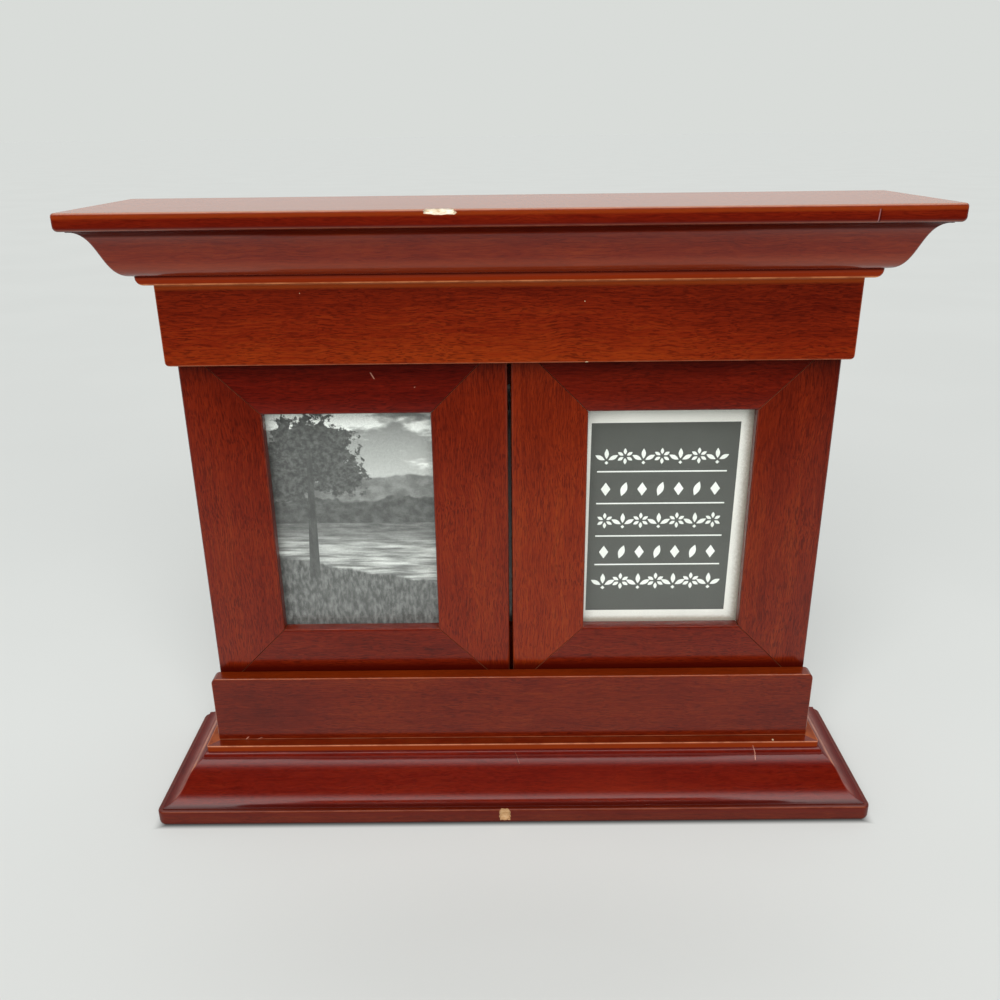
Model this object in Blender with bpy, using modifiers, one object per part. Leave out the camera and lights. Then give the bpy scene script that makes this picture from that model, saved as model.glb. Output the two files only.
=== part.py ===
"""A triple photo frame built like a small mantelpiece.

Two small picture panels slide apart in tracks behind the plinth board and the frieze board, and uncover a
third picture in a fixed frame behind them. A moulded base and a moulded cornice close the case below and above.

The frame stands on z = 0 with its front towards -Y, centred on x = 0 and on the middle of its depth.
"""

import math

import bmesh
import bpy
from mathutils import Matrix, Vector

# Pictures and the frames round them, in metres
PANEL_PRINT_WIDTH = 0.0635
PANEL_PRINT_HEIGHT = 0.0889
CENTRE_PRINT_WIDTH = 0.1524
CENTRE_PRINT_HEIGHT = 0.1016
LIP_COVER = 0.003175
PRINT_PLAY = 0.00025
MEMBER_WIDTH = 0.0261
PANEL_THICKNESS = 0.012
PANEL_LIP = 0.0044
PANEL_EDGE_ROUND = 0.0008
CENTRE_THICKNESS = 0.010
CENTRE_LIP = 0.004
GLASS_THICKNESS = 0.002
PRINT_THICKNESS = 0.0003
BACKING_THICKNESS = 0.0025

# The case round the sliding panels
MEETING_GAP = 0.0012
CASE_MARGIN = 0.0018
BOARD_THICKNESS = 0.0058
PLINTH_BOARD_HEIGHT = 0.0266
FRIEZE_BOARD_HEIGHT = 0.02615
PLINTH_CAPTURE = 0.0089
FRIEZE_CAPTURE = 0.0078
FRONT_CLEARANCE = 0.0004
REAR_CLEARANCE = 0.0006
RUNNER_CLEARANCE = 0.0003
HEAD_CLEARANCE = 0.0005
RECESS_DEPTH = 0.0151
BOARD_EDGE_ROUND = 0.0006
PLINTH_CORNER_ROUND = 0.0021
FRIEZE_CORNER_ROUND = 0.0014
BLOCK_EDGE_ROUND = 0.0004

# The base and the cornice
BASE_OVERHANG = 0.0199
BASE_BOARD_THICKNESS = 0.0064
BASE_LIP = 0.0016
BASE_CYMA_REACH = 0.0128
BASE_CYMA_RISE = 0.0119
BASE_COVE_PULL = 0.0088
BASE_OVOLO_PULL = 0.0062
BASE_QUIRK = 0.0003
BASE_BEAD_REACH = 0.0011
BASE_BEAD_RISE = 0.0026
BASE_FILLET_STEP = 0.00025
BASE_FILLET_RISE = 0.0025
CORNICE_OVERHANG = 0.0199
TOP_BOARD_THICKNESS = 0.0053
CORNICE_LIP = 0.0024
CORNICE_CYMA_REACH = 0.0127
CORNICE_CYMA_RISE = 0.0143
CORNICE_COVE_PULL = 0.007
CORNICE_OVOLO_PULL = 0.0069
CORNICE_QUIRK = 0.0005
CORNICE_RISER = 0.0004
CORNICE_BEAD_REACH = 0.0019
CORNICE_BEAD_RISE = 0.0028
BASE_BOARD_CORNER_ROUND = 0.003
BASE_BOARD_TOP_ROUND = 0.0008
BASE_BOARD_FOOT_ROUND = 0.0019
TOP_BOARD_CORNER_ROUND = 0.0018
TOP_BOARD_TOP_ROUND = 0.001
TOP_BOARD_UNDER_ROUND = 0.0014

# Small metal pieces
UNCOVER_MARGIN = 0.001
PIN_RADIUS = 0.0012
PIN_SEAT = 0.008
PIN_REACH = 0.0032
PIN_TO_PANEL_EDGE = 0.016
SLOT_PLAY = 0.0004
SLOT_SPARE_DEPTH = 0.0012
POINT_LENGTH = 0.008
POINT_GRIP = 0.005
POINT_REACH = 0.006
POINT_THICKNESS = 0.0005
BUTTON_PIVOT_RADIUS = 0.0045
BUTTON_NOSE_RADIUS = 0.0028
BUTTON_REACH = 0.0095
BUTTON_THICKNESS = 0.0012
BUTTON_FROM_REBATE = 0.006
BUTTON_SPREAD = 0.090
SCREW_RADIUS = 0.0012
SCREW_HEAD_RADIUS = 0.0028
SCREW_HEAD_HEIGHT = 0.0014
SCREW_GRIP = 0.006

# Gaps between pieces that touch on the real frame
SEAT_GAP = 0.0003
MITRE_GAP = 0.0002

# How finely the curves are drawn
CYMA_STEPS = 16
BEAD_STEPS = 7
EDGE_STEPS = 3
ROUND_SIDES = 16

# Worked out: widths, with x = 0 on the middle of the frame
PANEL_WIDTH = PANEL_PRINT_WIDTH - 2 * LIP_COVER + 2 * MEMBER_WIDTH
PANEL_HEIGHT = PANEL_PRINT_HEIGHT - 2 * LIP_COVER + 2 * MEMBER_WIDTH
PANEL_CENTRE_X = (PANEL_WIDTH + MEETING_GAP) / 2
PAIR_HALF = PANEL_WIDTH + MEETING_GAP / 2
CASE_HALF = PAIR_HALF + CASE_MARGIN
BASE_HALF = CASE_HALF + BASE_OVERHANG
CORNICE_HALF = CASE_HALF + CORNICE_OVERHANG
REBATE_INSET = MEMBER_WIDTH - LIP_COVER - PRINT_PLAY

# Worked out: depths, with y = 0 in the middle of the base's depth
CASE_DEPTH = (
    BOARD_THICKNESS + FRONT_CLEARANCE + PANEL_THICKNESS + REAR_CLEARANCE + CENTRE_THICKNESS + RECESS_DEPTH
)
BACK_Y = (CASE_DEPTH + BASE_OVERHANG) / 2
BASE_FRONT_Y = -BACK_Y
BOARD_FRONT_Y = BASE_FRONT_Y + BASE_OVERHANG
BOARD_BACK_Y = BOARD_FRONT_Y + BOARD_THICKNESS
CORNICE_FRONT_Y = BOARD_FRONT_Y - CORNICE_OVERHANG
PANEL_FACE_Y = BOARD_BACK_Y + FRONT_CLEARANCE
CENTRE_FACE_Y = PANEL_FACE_Y + PANEL_THICKNESS + REAR_CLEARANCE
BLOCK_FRONT_Y = BOARD_BACK_Y + SEAT_GAP

# Worked out: heights
BASE_RISE = BASE_CYMA_RISE + BASE_BEAD_RISE + BASE_FILLET_RISE
CORNICE_RISE = CORNICE_CYMA_RISE + CORNICE_RISER + CORNICE_BEAD_RISE
BASE_MOULDING_Z = BASE_BOARD_THICKNESS + SEAT_GAP
BASE_TOP_Z = BASE_MOULDING_Z + BASE_RISE
PLINTH_Z = BASE_TOP_Z + SEAT_GAP
PLINTH_TOP_Z = PLINTH_Z + PLINTH_BOARD_HEIGHT
PANEL_Z = PLINTH_TOP_Z - PLINTH_CAPTURE
SILL_TOP_Z = PANEL_Z - RUNNER_CLEARANCE
PANEL_CENTRE_Z = PANEL_Z + PANEL_HEIGHT / 2
PANEL_TOP_Z = PANEL_Z + PANEL_HEIGHT
HEADER_Z = PANEL_TOP_Z + HEAD_CLEARANCE
FRIEZE_Z = PANEL_TOP_Z - FRIEZE_CAPTURE
FRIEZE_TOP_Z = FRIEZE_Z + FRIEZE_BOARD_HEIGHT
CORNICE_Z = FRIEZE_TOP_Z + SEAT_GAP
CORNICE_TOP_Z = CORNICE_Z + CORNICE_RISE
SLAB_Z = CORNICE_TOP_Z + SEAT_GAP
SLAB_TOP_Z = SLAB_Z + TOP_BOARD_THICKNESS

# Worked out: the fixed centre frame
CENTRE_SIGHT_HALF_WIDTH = CENTRE_PRINT_WIDTH / 2 - LIP_COVER
CENTRE_SIGHT_HALF_HEIGHT = CENTRE_PRINT_HEIGHT / 2 - LIP_COVER
CENTRE_LOW_Z = SILL_TOP_Z + SEAT_GAP
CENTRE_HIGH_Z = HEADER_Z - SEAT_GAP
CENTRE_Z = (CENTRE_LOW_Z + CENTRE_HIGH_Z) / 2
CENTRE_HALF_HEIGHT = (CENTRE_HIGH_Z - CENTRE_LOW_Z) / 2

# Worked out: how far each panel slides, and where its stop pin stands
TRAVEL = CENTRE_SIGHT_HALF_WIDTH + UNCOVER_MARGIN - MEETING_GAP / 2
PIN_X = MEETING_GAP / 2 + TRAVEL + PIN_TO_PANEL_EDGE
BUTTON_PIVOT_HEIGHT = CENTRE_PRINT_HEIGHT / 2 + PRINT_PLAY + BUTTON_FROM_REBATE

# Finishes as linear colour, roughness and metallic
FINISHES = {
    "case_wood": ((0.190, 0.030, 0.010), 0.30, 0.0),
    "panel_wood": ((0.130, 0.018, 0.010), 0.32, 0.0),
    "glass": ((0.90, 0.93, 0.92), 0.03, 0.0),
    "photo_print": ((0.25, 0.25, 0.25), 0.35, 0.0),
    "picture_card": ((0.62, 0.62, 0.58), 0.55, 0.0),
    "backing_board": ((0.060, 0.042, 0.030), 0.75, 0.0),
    "plated_steel": ((0.56, 0.55, 0.52), 0.35, 1.0),
}


def new_collection(name, shown):
    """A collection in the scene; one that isn't shown holds cutters."""
    collection = bpy.data.collections.new(name)
    bpy.context.scene.collection.children.link(collection)
    collection.hide_render = not shown
    return collection


def material(name, finish):
    """A Principled material for one object."""
    colour, roughness, metallic = FINISHES[finish]
    made = bpy.data.materials.new(name)
    made.use_nodes = True
    shader = made.node_tree.nodes["Principled BSDF"]
    shader.inputs["Base Color"].default_value = (*colour, 1.0)
    shader.inputs["Roughness"].default_value = roughness
    shader.inputs["Metallic"].default_value = metallic
    if finish == "glass":
        shader.inputs["Transmission Weight"].default_value = 1.0
    return made


def object_from(bm, name, finish):
    """Turns a closed bmesh into a named object in the parts collection, or a cutter where finish is None."""
    bmesh.ops.recalc_face_normals(bm, faces=bm.faces)
    mesh = bpy.data.meshes.new(name)
    bm.to_mesh(mesh)
    bm.free()
    obj = bpy.data.objects.new(name, mesh)
    if finish is None:
        obj.hide_render = True
        obj.display_type = "WIRE"
        CUTTERS.objects.link(obj)
    else:
        mesh.materials.append(material(name, finish))
        PARTS.objects.link(obj)
    return obj


def box_mesh(low, high):
    """A box as large as the space between two corners, round the origin, and the point where its middle belongs."""
    low, high = Vector(low), Vector(high)
    bm = bmesh.new()
    bmesh.ops.create_cube(bm, size=1.0)
    bmesh.ops.scale(bm, vec=high - low, verts=bm.verts)
    return bm, (low + high) / 2


def edges_along(bm, axis):
    """The edges of a box that run along an axis: 0, 1 or 2 for X, Y or Z."""
    across = [other for other in range(3) if other != axis]
    return [e for e in bm.edges if all(e.verts[0].co[i] == e.verts[1].co[i] for i in across)]


def round_edges(bm, edges, radius):
    """Rounds edges of a mesh that is still being made."""
    bmesh.ops.bevel(bm, geom=edges, offset=radius, segments=EDGE_STEPS, affect="EDGES", profile=0.5)


def ease_edges(obj, radius):
    """Rounds every sharp edge of a finished object."""
    bevel = obj.modifiers.new("edge_round", "BEVEL")
    bevel.width = radius
    bevel.segments = 2
    bevel.limit_method = "ANGLE"
    bevel.angle_limit = math.radians(40)


def box(name, low, high, finish, edge=0.0):
    """A box between two corners, with its edges eased where edge is given."""
    bm, middle = box_mesh(low, high)
    obj = object_from(bm, name, finish)
    obj.location = middle
    if edge:
        ease_edges(obj, edge)
    return obj


def slab(name, low, high, corner_round, top_round, under_round):
    """A board with rounded upright corners, and with its own radius along its top and its lower edge."""
    bm, middle = box_mesh(low, high)
    half_height = max(vert.co.z for vert in bm.verts)
    round_edges(bm, edges_along(bm, 2), corner_round)
    for side, radius in ((1, top_round), (-1, under_round)):
        rim = [e for e in bm.edges if all(v.co.z * side > 0.99 * half_height for v in e.verts)]
        round_edges(bm, rim, radius)
    obj = object_from(bm, name, "case_wood")
    obj.location = middle
    return obj


def track_board(name, low_z, high_z, free_side, corner_round):
    """A board across the front of the case. The corners of its free side, 1 for up and -1 for down, are rounded."""
    bm, middle = box_mesh((-CASE_HALF, BOARD_FRONT_Y, low_z), (CASE_HALF, BOARD_BACK_Y, high_z))
    free_corners = [e for e in edges_along(bm, 1) if e.verts[0].co.z * free_side > 0]
    round_edges(bm, free_corners, corner_round)
    board = object_from(bm, name, "case_wood")
    board.location = middle
    ease_edges(board, BOARD_EDGE_ROUND)
    return board


def cylinder(name, radius, low, high, finish):
    """An upright cylinder between two points on its axis."""
    low, high = Vector(low), Vector(high)
    bm = bmesh.new()
    bmesh.ops.create_cone(
        bm, cap_ends=True, segments=ROUND_SIDES, radius1=radius, radius2=radius, depth=(high - low).length
    )
    obj = object_from(bm, name, finish)
    obj.location = (low + high) / 2
    return obj


def cut(obj, cutter):
    """Cuts the cutter's shape out of the object."""
    boolean = obj.modifiers.new(cutter.name, "BOOLEAN")
    boolean.operation = "DIFFERENCE"
    boolean.object = cutter


def quarter(centre, start, end, steps):
    """The points of a quarter of an ellipse from start to end, round centre."""
    centre, start, end = Vector(centre), Vector(start), Vector(end)
    turns = [math.radians(90) * step / steps for step in range(steps + 1)]
    return [centre + (start - centre) * math.cos(turn) + (end - centre) * math.sin(turn) for turn in turns]


def profile_run(name, outline, length, mitres, finish):
    """An outline of (inset, height) run along X, from x = 0 to the length.

    A mitre of 1 draws that end back as far as each point is inset, which cuts it at 45 degrees; 0 leaves it
    square.
    """
    bm = bmesh.new()
    face = bm.faces.new([bm.verts.new((0, inset, height)) for inset, height in outline])
    run = bmesh.ops.extrude_face_region(bm, geom=[face])
    far = [part for part in run["geom"] if isinstance(part, bmesh.types.BMVert)]
    near = [vert for vert in bm.verts if vert not in far]
    for vert in near:
        vert.co.x = mitres[0] * (vert.co.y + MITRE_GAP / math.sqrt(2))
    for vert in far:
        vert.co.x = length - mitres[1] * (vert.co.y + MITRE_GAP / math.sqrt(2))
    return object_from(bm, name, finish)


def cyma(reach, rise, cove_pull, ovolo_pull):
    """The (inset, rise) points of a cove that runs into an ovolo, from the moulding's widest edge."""
    ends = [Vector((0, 0)), Vector((cove_pull, 0)), Vector((reach - ovolo_pull, rise)), Vector((reach, rise))]
    points = []
    for index in range(CYMA_STEPS + 1):
        t = index / CYMA_STEPS
        weights = [(1 - t) ** 3, 3 * t * (1 - t) ** 2, 3 * t**2 * (1 - t), t**3]
        points.append(sum((end * weight for end, weight in zip(ends, weights)), Vector((0, 0))))
    return points


def bead(foot, reach, rise):
    """The points of a quarter-round bead that starts upright at its foot and ends level."""
    centre = foot + Vector((reach, 0))
    return quarter(centre, foot, centre + Vector((0, rise)), BEAD_STEPS)


def base_outline(back):
    """The base moulding's section: a cyma, a quirk, a small bead and a square fillet, then round the back."""
    points = cyma(BASE_CYMA_REACH, BASE_CYMA_RISE, BASE_COVE_PULL, BASE_OVOLO_PULL)
    points += bead(points[-1] + Vector((BASE_QUIRK, 0)), BASE_BEAD_REACH, BASE_BEAD_RISE)
    fillet_foot = points[-1] + Vector((BASE_FILLET_STEP, 0))
    fillet_top = fillet_foot + Vector((0, BASE_FILLET_RISE))
    return [*points, fillet_foot, fillet_top, Vector((back, fillet_top.y)), Vector((back, 0))]


def cornice_outline(back):
    """The cornice moulding's section, hanging down: a cyma, a quirk, a riser and a bead, then round the back."""
    points = cyma(CORNICE_CYMA_REACH, CORNICE_CYMA_RISE, CORNICE_COVE_PULL, CORNICE_OVOLO_PULL)
    riser_foot = points[-1] + Vector((CORNICE_QUIRK, 0))
    points += [riser_foot, *bead(riser_foot + Vector((0, CORNICE_RISER)), CORNICE_BEAD_REACH, CORNICE_BEAD_RISE)]
    points += [Vector((back, points[-1].y)), Vector((back, 0))]
    return [(inset, -rise) for inset, rise in points]


def moulding_set(prefix, outline, half, front_y, z, finish):
    """The mitred front moulding and the two returns that run back from it. Half is their widest half width."""
    side_length = BACK_Y - front_y
    front = profile_run(f"{prefix}_moulding_front", outline, 2 * half, (1, 1), finish)
    front.location = (-half, front_y, z)
    left = profile_run(f"{prefix}_moulding_left", outline, side_length, (0, 1), finish)
    left.location = (-half, BACK_Y, z)
    left.rotation_euler.z = math.radians(-90)
    right = profile_run(f"{prefix}_moulding_right", outline, side_length, (1, 0), finish)
    right.location = (half, front_y, z)
    right.rotation_euler.z = math.radians(90)


def base():
    """The base board, its mouldings and the core that they are glued round."""
    slab(
        "base_board",
        (-BASE_HALF, BASE_FRONT_Y, 0),
        (BASE_HALF, BACK_Y, BASE_BOARD_THICKNESS),
        BASE_BOARD_CORNER_ROUND,
        BASE_BOARD_TOP_ROUND,
        BASE_BOARD_FOOT_ROUND,
    )
    back = BASE_OVERHANG + BOARD_THICKNESS - BASE_LIP
    half = BASE_HALF - BASE_LIP
    moulding_set("base", base_outline(back), half, BASE_FRONT_Y + BASE_LIP, BASE_MOULDING_Z, "case_wood")
    core_half = half - back - SEAT_GAP
    box(
        "base_core",
        (-core_half, BLOCK_FRONT_Y, BASE_MOULDING_Z),
        (core_half, BACK_Y, BASE_TOP_Z),
        "case_wood",
    )


def cornice():
    """The top board, the mouldings under it and their core."""
    slab(
        "top_board",
        (-CORNICE_HALF, CORNICE_FRONT_Y, SLAB_Z),
        (CORNICE_HALF, BACK_Y, SLAB_TOP_Z),
        TOP_BOARD_CORNER_ROUND,
        TOP_BOARD_TOP_ROUND,
        TOP_BOARD_UNDER_ROUND,
    )
    back = CORNICE_OVERHANG + BOARD_THICKNESS - CORNICE_LIP
    half = CORNICE_HALF - CORNICE_LIP
    moulding_set("cornice", cornice_outline(back), half, CORNICE_FRONT_Y + CORNICE_LIP, CORNICE_TOP_Z, "case_wood")
    core_half = half - back - SEAT_GAP
    box(
        "cornice_core",
        (-core_half, BLOCK_FRONT_Y, CORNICE_Z),
        (core_half, BACK_Y, CORNICE_TOP_Z),
        "case_wood",
    )


def tracks():
    """The boards and blocks that hold the panels' top and bottom rails, and the pins that stop them."""
    track_board("plinth_board", PLINTH_Z, PLINTH_TOP_Z, 1, PLINTH_CORNER_ROUND)
    track_board("frieze_board", FRIEZE_Z, FRIEZE_TOP_Z, -1, FRIEZE_CORNER_ROUND)
    blocks = {"sill_block": (PLINTH_Z, SILL_TOP_Z), "header_block": (HEADER_Z, FRIEZE_TOP_Z)}
    made = {}
    for name, (low_z, high_z) in blocks.items():
        made[name] = box(
            name,
            (-CASE_HALF, BLOCK_FRONT_Y, low_z),
            (CASE_HALF, BACK_Y, high_z),
            "case_wood",
            edge=BLOCK_EDGE_ROUND,
        )
    pin_y = PANEL_FACE_Y + PANEL_THICKNESS / 2
    for side, x in (("left", -PIN_X), ("right", PIN_X)):
        foot = Vector((x, pin_y, HEADER_Z - PIN_REACH))
        head = Vector((x, pin_y, HEADER_Z + PIN_SEAT))
        cylinder(f"stop_pin_{side}", PIN_RADIUS, foot, head, "plated_steel")
        spare = Vector((0, 0, SEAT_GAP))
        hole = cylinder(f"stop_pin_{side}_hole", PIN_RADIUS + SEAT_GAP, foot, head + spare, None)
        cut(made["header_block"], hole)


def panel_member_outline():
    """The section of a panel's rail or stile: (inset from its outer edge, height above the face)."""
    r = PANEL_EDGE_ROUND
    outer = quarter((r, -r), (0, -r), (r, 0), EDGE_STEPS)
    sight = quarter((MEMBER_WIDTH - r, -r), (MEMBER_WIDTH - r, 0), (MEMBER_WIDTH, -r), EDGE_STEPS)
    rebate = [
        (MEMBER_WIDTH, -PANEL_LIP),
        (REBATE_INSET, -PANEL_LIP),
        (REBATE_INSET, -PANEL_THICKNESS),
    ]
    return [(0, -PANEL_THICKNESS), *outer, *sight, *rebate]


def layer(name, parent, width, height, front, thickness, finish):
    """A flat sheet in a panel's own plane, its front at that depth behind the face."""
    sheet = box(
        name,
        (-width / 2, -height / 2, -front - thickness),
        (width / 2, height / 2, -front),
        finish,
    )
    sheet.parent = parent
    return sheet


def sliding_panel(side, direction, picture_name, picture_finish):
    """One picture panel. Its parts lie in the plane of an empty that stands on the panel's centre."""
    prefix = f"{side}_panel"
    empty = bpy.data.objects.new(f"{prefix}_slide", None)
    PARTS.objects.link(empty)
    empty.location = (direction * PANEL_CENTRE_X, PANEL_FACE_Y, PANEL_CENTRE_Z)
    empty.rotation_euler.x = math.radians(90)

    right_name, left_name = ("outer", "inner") if direction > 0 else ("inner", "outer")
    members = [
        ("bottom_rail", PANEL_WIDTH, PANEL_HEIGHT),
        (f"{right_name}_stile", PANEL_HEIGHT, PANEL_WIDTH),
        ("top_rail", PANEL_WIDTH, PANEL_HEIGHT),
        (f"{left_name}_stile", PANEL_HEIGHT, PANEL_WIDTH),
    ]
    backing_front = PANEL_LIP + GLASS_THICKNESS + PRINT_THICKNESS + 3 * SEAT_GAP
    point_front = backing_front + BACKING_THICKNESS + SEAT_GAP
    for quarter_turns, (member_name, length, span) in enumerate(members):
        turn = Matrix.Rotation(math.radians(90 * quarter_turns), 4, "Z")
        member = profile_run(f"{prefix}_{member_name}", panel_member_outline(), length, (1, 1), "panel_wood")
        member.parent = empty
        member.matrix_local = turn @ Matrix.Translation((-length / 2, -span / 2, 0))

        point_y = REBATE_INSET - span / 2
        point = box(
            f"{prefix}_{member_name}_point",
            (-POINT_LENGTH / 2, point_y - POINT_GRIP, -point_front - POINT_THICKNESS),
            (POINT_LENGTH / 2, point_y + POINT_REACH, -point_front),
            "plated_steel",
        )
        point_slot = box(
            f"{prefix}_{member_name}_point_slot",
            (
                -POINT_LENGTH / 2 - SEAT_GAP,
                point_y - POINT_GRIP - SEAT_GAP,
                -point_front - POINT_THICKNESS - SEAT_GAP,
            ),
            (POINT_LENGTH / 2 + SEAT_GAP, point_y + POINT_REACH, -point_front + SEAT_GAP),
            None,
        )
        for piece in (point, point_slot):
            piece.parent = empty
            piece.matrix_local = turn @ Matrix.Translation(piece.location)
        cut(member, point_slot)
        if member_name == "top_rail":
            cut(member, pin_slot(prefix, direction, empty))

    width, height = PANEL_PRINT_WIDTH, PANEL_PRINT_HEIGHT
    glass_front = PANEL_LIP + SEAT_GAP
    picture_front = glass_front + GLASS_THICKNESS + SEAT_GAP
    layer(f"{prefix}_glass", empty, width, height, glass_front, GLASS_THICKNESS, "glass")
    layer(picture_name, empty, width, height, picture_front, PRINT_THICKNESS, picture_finish)
    layer(f"{prefix}_backing", empty, width, height, backing_front, BACKING_THICKNESS, "backing_board")


def pin_slot(prefix, direction, empty):
    """The cutter for the blind slot along a panel's top edge, in which its stop pin runs."""
    play = PIN_RADIUS + SLOT_PLAY
    closed = direction * (PIN_X - PANEL_CENTRE_X)
    opened = closed - direction * TRAVEL
    depth = PIN_REACH - HEAD_CLEARANCE + SLOT_SPARE_DEPTH
    slot = box(
        f"{prefix}_pin_slot",
        (min(closed, opened) - play, PANEL_HEIGHT / 2 - depth, -PANEL_THICKNESS / 2 - play),
        (max(closed, opened) + play, PANEL_HEIGHT / 2 + depth, -PANEL_THICKNESS / 2 + play),
        None,
    )
    slot.parent = empty
    return slot


def centre_frame():
    """The fixed frame behind the panels: two stiles, two rails between them, and what lies in its rebate."""
    back_y = CENTRE_FACE_Y + CENTRE_THICKNESS
    rebate_half_width = CENTRE_PRINT_WIDTH / 2 + PRINT_PLAY
    rebate_half_height = CENTRE_PRINT_HEIGHT / 2 + PRINT_PLAY
    rebate = box(
        "centre_rebate",
        (-rebate_half_width, CENTRE_FACE_Y + CENTRE_LIP, CENTRE_Z - rebate_half_height),
        (rebate_half_width, back_y + CENTRE_LIP, CENTRE_Z + rebate_half_height),
        None,
    )
    rail_half = CENTRE_SIGHT_HALF_WIDTH - SEAT_GAP
    sight_z = CENTRE_SIGHT_HALF_HEIGHT
    members = {
        "centre_left_stile": (-PAIR_HALF, -CENTRE_SIGHT_HALF_WIDTH, CENTRE_LOW_Z, CENTRE_HIGH_Z),
        "centre_right_stile": (CENTRE_SIGHT_HALF_WIDTH, PAIR_HALF, CENTRE_LOW_Z, CENTRE_HIGH_Z),
        "centre_bottom_rail": (-rail_half, rail_half, CENTRE_LOW_Z, CENTRE_Z - sight_z),
        "centre_top_rail": (-rail_half, rail_half, CENTRE_Z + sight_z, CENTRE_HIGH_Z),
    }
    made = {}
    for name, (low_x, high_x, low_z, high_z) in members.items():
        made[name] = box(
            name,
            (low_x, CENTRE_FACE_Y, low_z),
            (high_x, back_y, high_z),
            "panel_wood",
            edge=BLOCK_EDGE_ROUND,
        )
        cut(made[name], rebate)

    front = CENTRE_FACE_Y + CENTRE_LIP + SEAT_GAP
    sheets = {
        "centre_glass": (GLASS_THICKNESS, "glass"),
        "centre_print": (PRINT_THICKNESS, "photo_print"),
        "centre_backing": (BACKING_THICKNESS, "backing_board"),
    }
    for name, (thickness, finish) in sheets.items():
        half = Vector((CENTRE_PRINT_WIDTH / 2, 0, CENTRE_PRINT_HEIGHT / 2))
        low = Vector((0, front, CENTRE_Z)) - half
        high = Vector((0, front + thickness, CENTRE_Z)) + half
        box(name, low, high, finish)
        front += thickness + SEAT_GAP

    for row, up in (("top", 1), ("bottom", -1)):
        for column, across in (("left", -1), ("right", 1)):
            pivot = Vector((across * BUTTON_SPREAD / 2, back_y, CENTRE_Z + up * BUTTON_PIVOT_HEIGHT))
            turn_button(f"{row}_{column}", pivot, up, made[f"centre_{row}_rail"])


def turn_button(place, pivot, up, rail):
    """A turn button that laps over the backing, and its screw. Its empty stands on the pivot, facing +Y."""
    empty = bpy.data.objects.new(f"turn_button_{place}_pivot", None)
    PARTS.objects.link(empty)
    empty.location = pivot
    empty.rotation_euler = (math.radians(-90), 0, 0)

    outline = bpy.data.curves.new(f"turn_button_{place}", "CURVE")
    outline.dimensions = "2D"
    outline.fill_mode = "BOTH"
    outline.extrude = BUTTON_THICKNESS / 2
    lean = math.asin((BUTTON_PIVOT_RADIUS - BUTTON_NOSE_RADIUS) / BUTTON_REACH)
    half_turn = math.radians(90) + lean
    steps = ROUND_SIDES // 2
    round_ends = []
    for centre_y, radius, first, last in (
        (0, BUTTON_PIVOT_RADIUS, -half_turn, half_turn),
        (-up * BUTTON_REACH, BUTTON_NOSE_RADIUS, half_turn, 2 * math.pi - half_turn),
    ):
        for step in range(steps + 1):
            angle = first + (last - first) * step / steps
            across, along = radius * math.sin(angle), radius * math.cos(angle)
            round_ends.append((across, centre_y + up * along))
    screw_hole = [
        (
            (SCREW_RADIUS + SEAT_GAP) * math.cos(2 * math.pi * step / ROUND_SIDES),
            (SCREW_RADIUS + SEAT_GAP) * math.sin(2 * math.pi * step / ROUND_SIDES),
        )
        for step in range(ROUND_SIDES)
    ]
    for ring in (round_ends, screw_hole):
        spline = outline.splines.new("POLY")
        spline.points.add(len(ring) - 1)
        for point, (x, y) in zip(spline.points, ring):
            point.co = (x, -y, 0, 1)
        spline.use_cyclic_u = True
    outline.materials.append(material(outline.name, "plated_steel"))
    button = bpy.data.objects.new(outline.name, outline)
    PARTS.objects.link(button)
    button.parent = empty
    button.location.z = SEAT_GAP + BUTTON_THICKNESS / 2

    screw = turned_screw(f"button_screw_{place}", empty)
    hole = cylinder(
        f"button_screw_{place}_hole",
        SCREW_RADIUS + SEAT_GAP,
        (0, 0, -SCREW_GRIP - SEAT_GAP),
        (0, 0, SCREW_GRIP),
        None,
    )
    hole.parent = empty
    cut(rail, hole)
    return screw


def turned_screw(name, empty):
    """A pan-headed screw, turned about the empty's Z axis."""
    head_z = 2 * SEAT_GAP + BUTTON_THICKNESS
    edge = SCREW_HEAD_HEIGHT / 2
    crown = quarter(
        (SCREW_HEAD_RADIUS - edge, head_z + edge),
        (SCREW_HEAD_RADIUS - edge, head_z + 2 * edge),
        (SCREW_HEAD_RADIUS, head_z + edge),
        EDGE_STEPS,
    )
    profile = [
        (0, head_z + 2 * edge),
        *crown,
        (SCREW_HEAD_RADIUS, head_z),
        (SCREW_RADIUS, head_z),
        (SCREW_RADIUS, -SCREW_GRIP + SCREW_RADIUS),
        (0, -SCREW_GRIP),
    ]
    mesh = bpy.data.meshes.new(name)
    mesh.from_pydata(
        [(radius, 0, z) for radius, z in profile], [(i, i + 1) for i in range(len(profile) - 1)], []
    )
    mesh.materials.append(material(name, "plated_steel"))
    screw = bpy.data.objects.new(name, mesh)
    PARTS.objects.link(screw)
    screw.parent = empty
    turning = screw.modifiers.new("turning", "SCREW")
    turning.steps = ROUND_SIDES
    turning.render_steps = ROUND_SIDES
    turning.use_merge_vertices = True
    turning.merge_threshold = 0.00001
    turning.use_smooth_shade = True
    return screw


def shade_parts():
    """Smooth shading with crisp corners on every meshed part."""
    for obj in PARTS.objects:
        if obj.type == "MESH":
            obj.data.shade_smooth()
            obj.data.set_sharp_from_angle(angle=math.radians(30))


for old in list(bpy.data.objects):
    bpy.data.objects.remove(old)
PARTS = new_collection("triple_photo_frame", shown=True)
CUTTERS = new_collection("cutters", shown=False)
base()
tracks()
sliding_panel("left", -1, "left_print", "photo_print")
sliding_panel("right", 1, "right_card", "picture_card")
centre_frame()
cornice()
shade_parts()
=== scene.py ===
from math import cos, pi, radians, sin, tau

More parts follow.
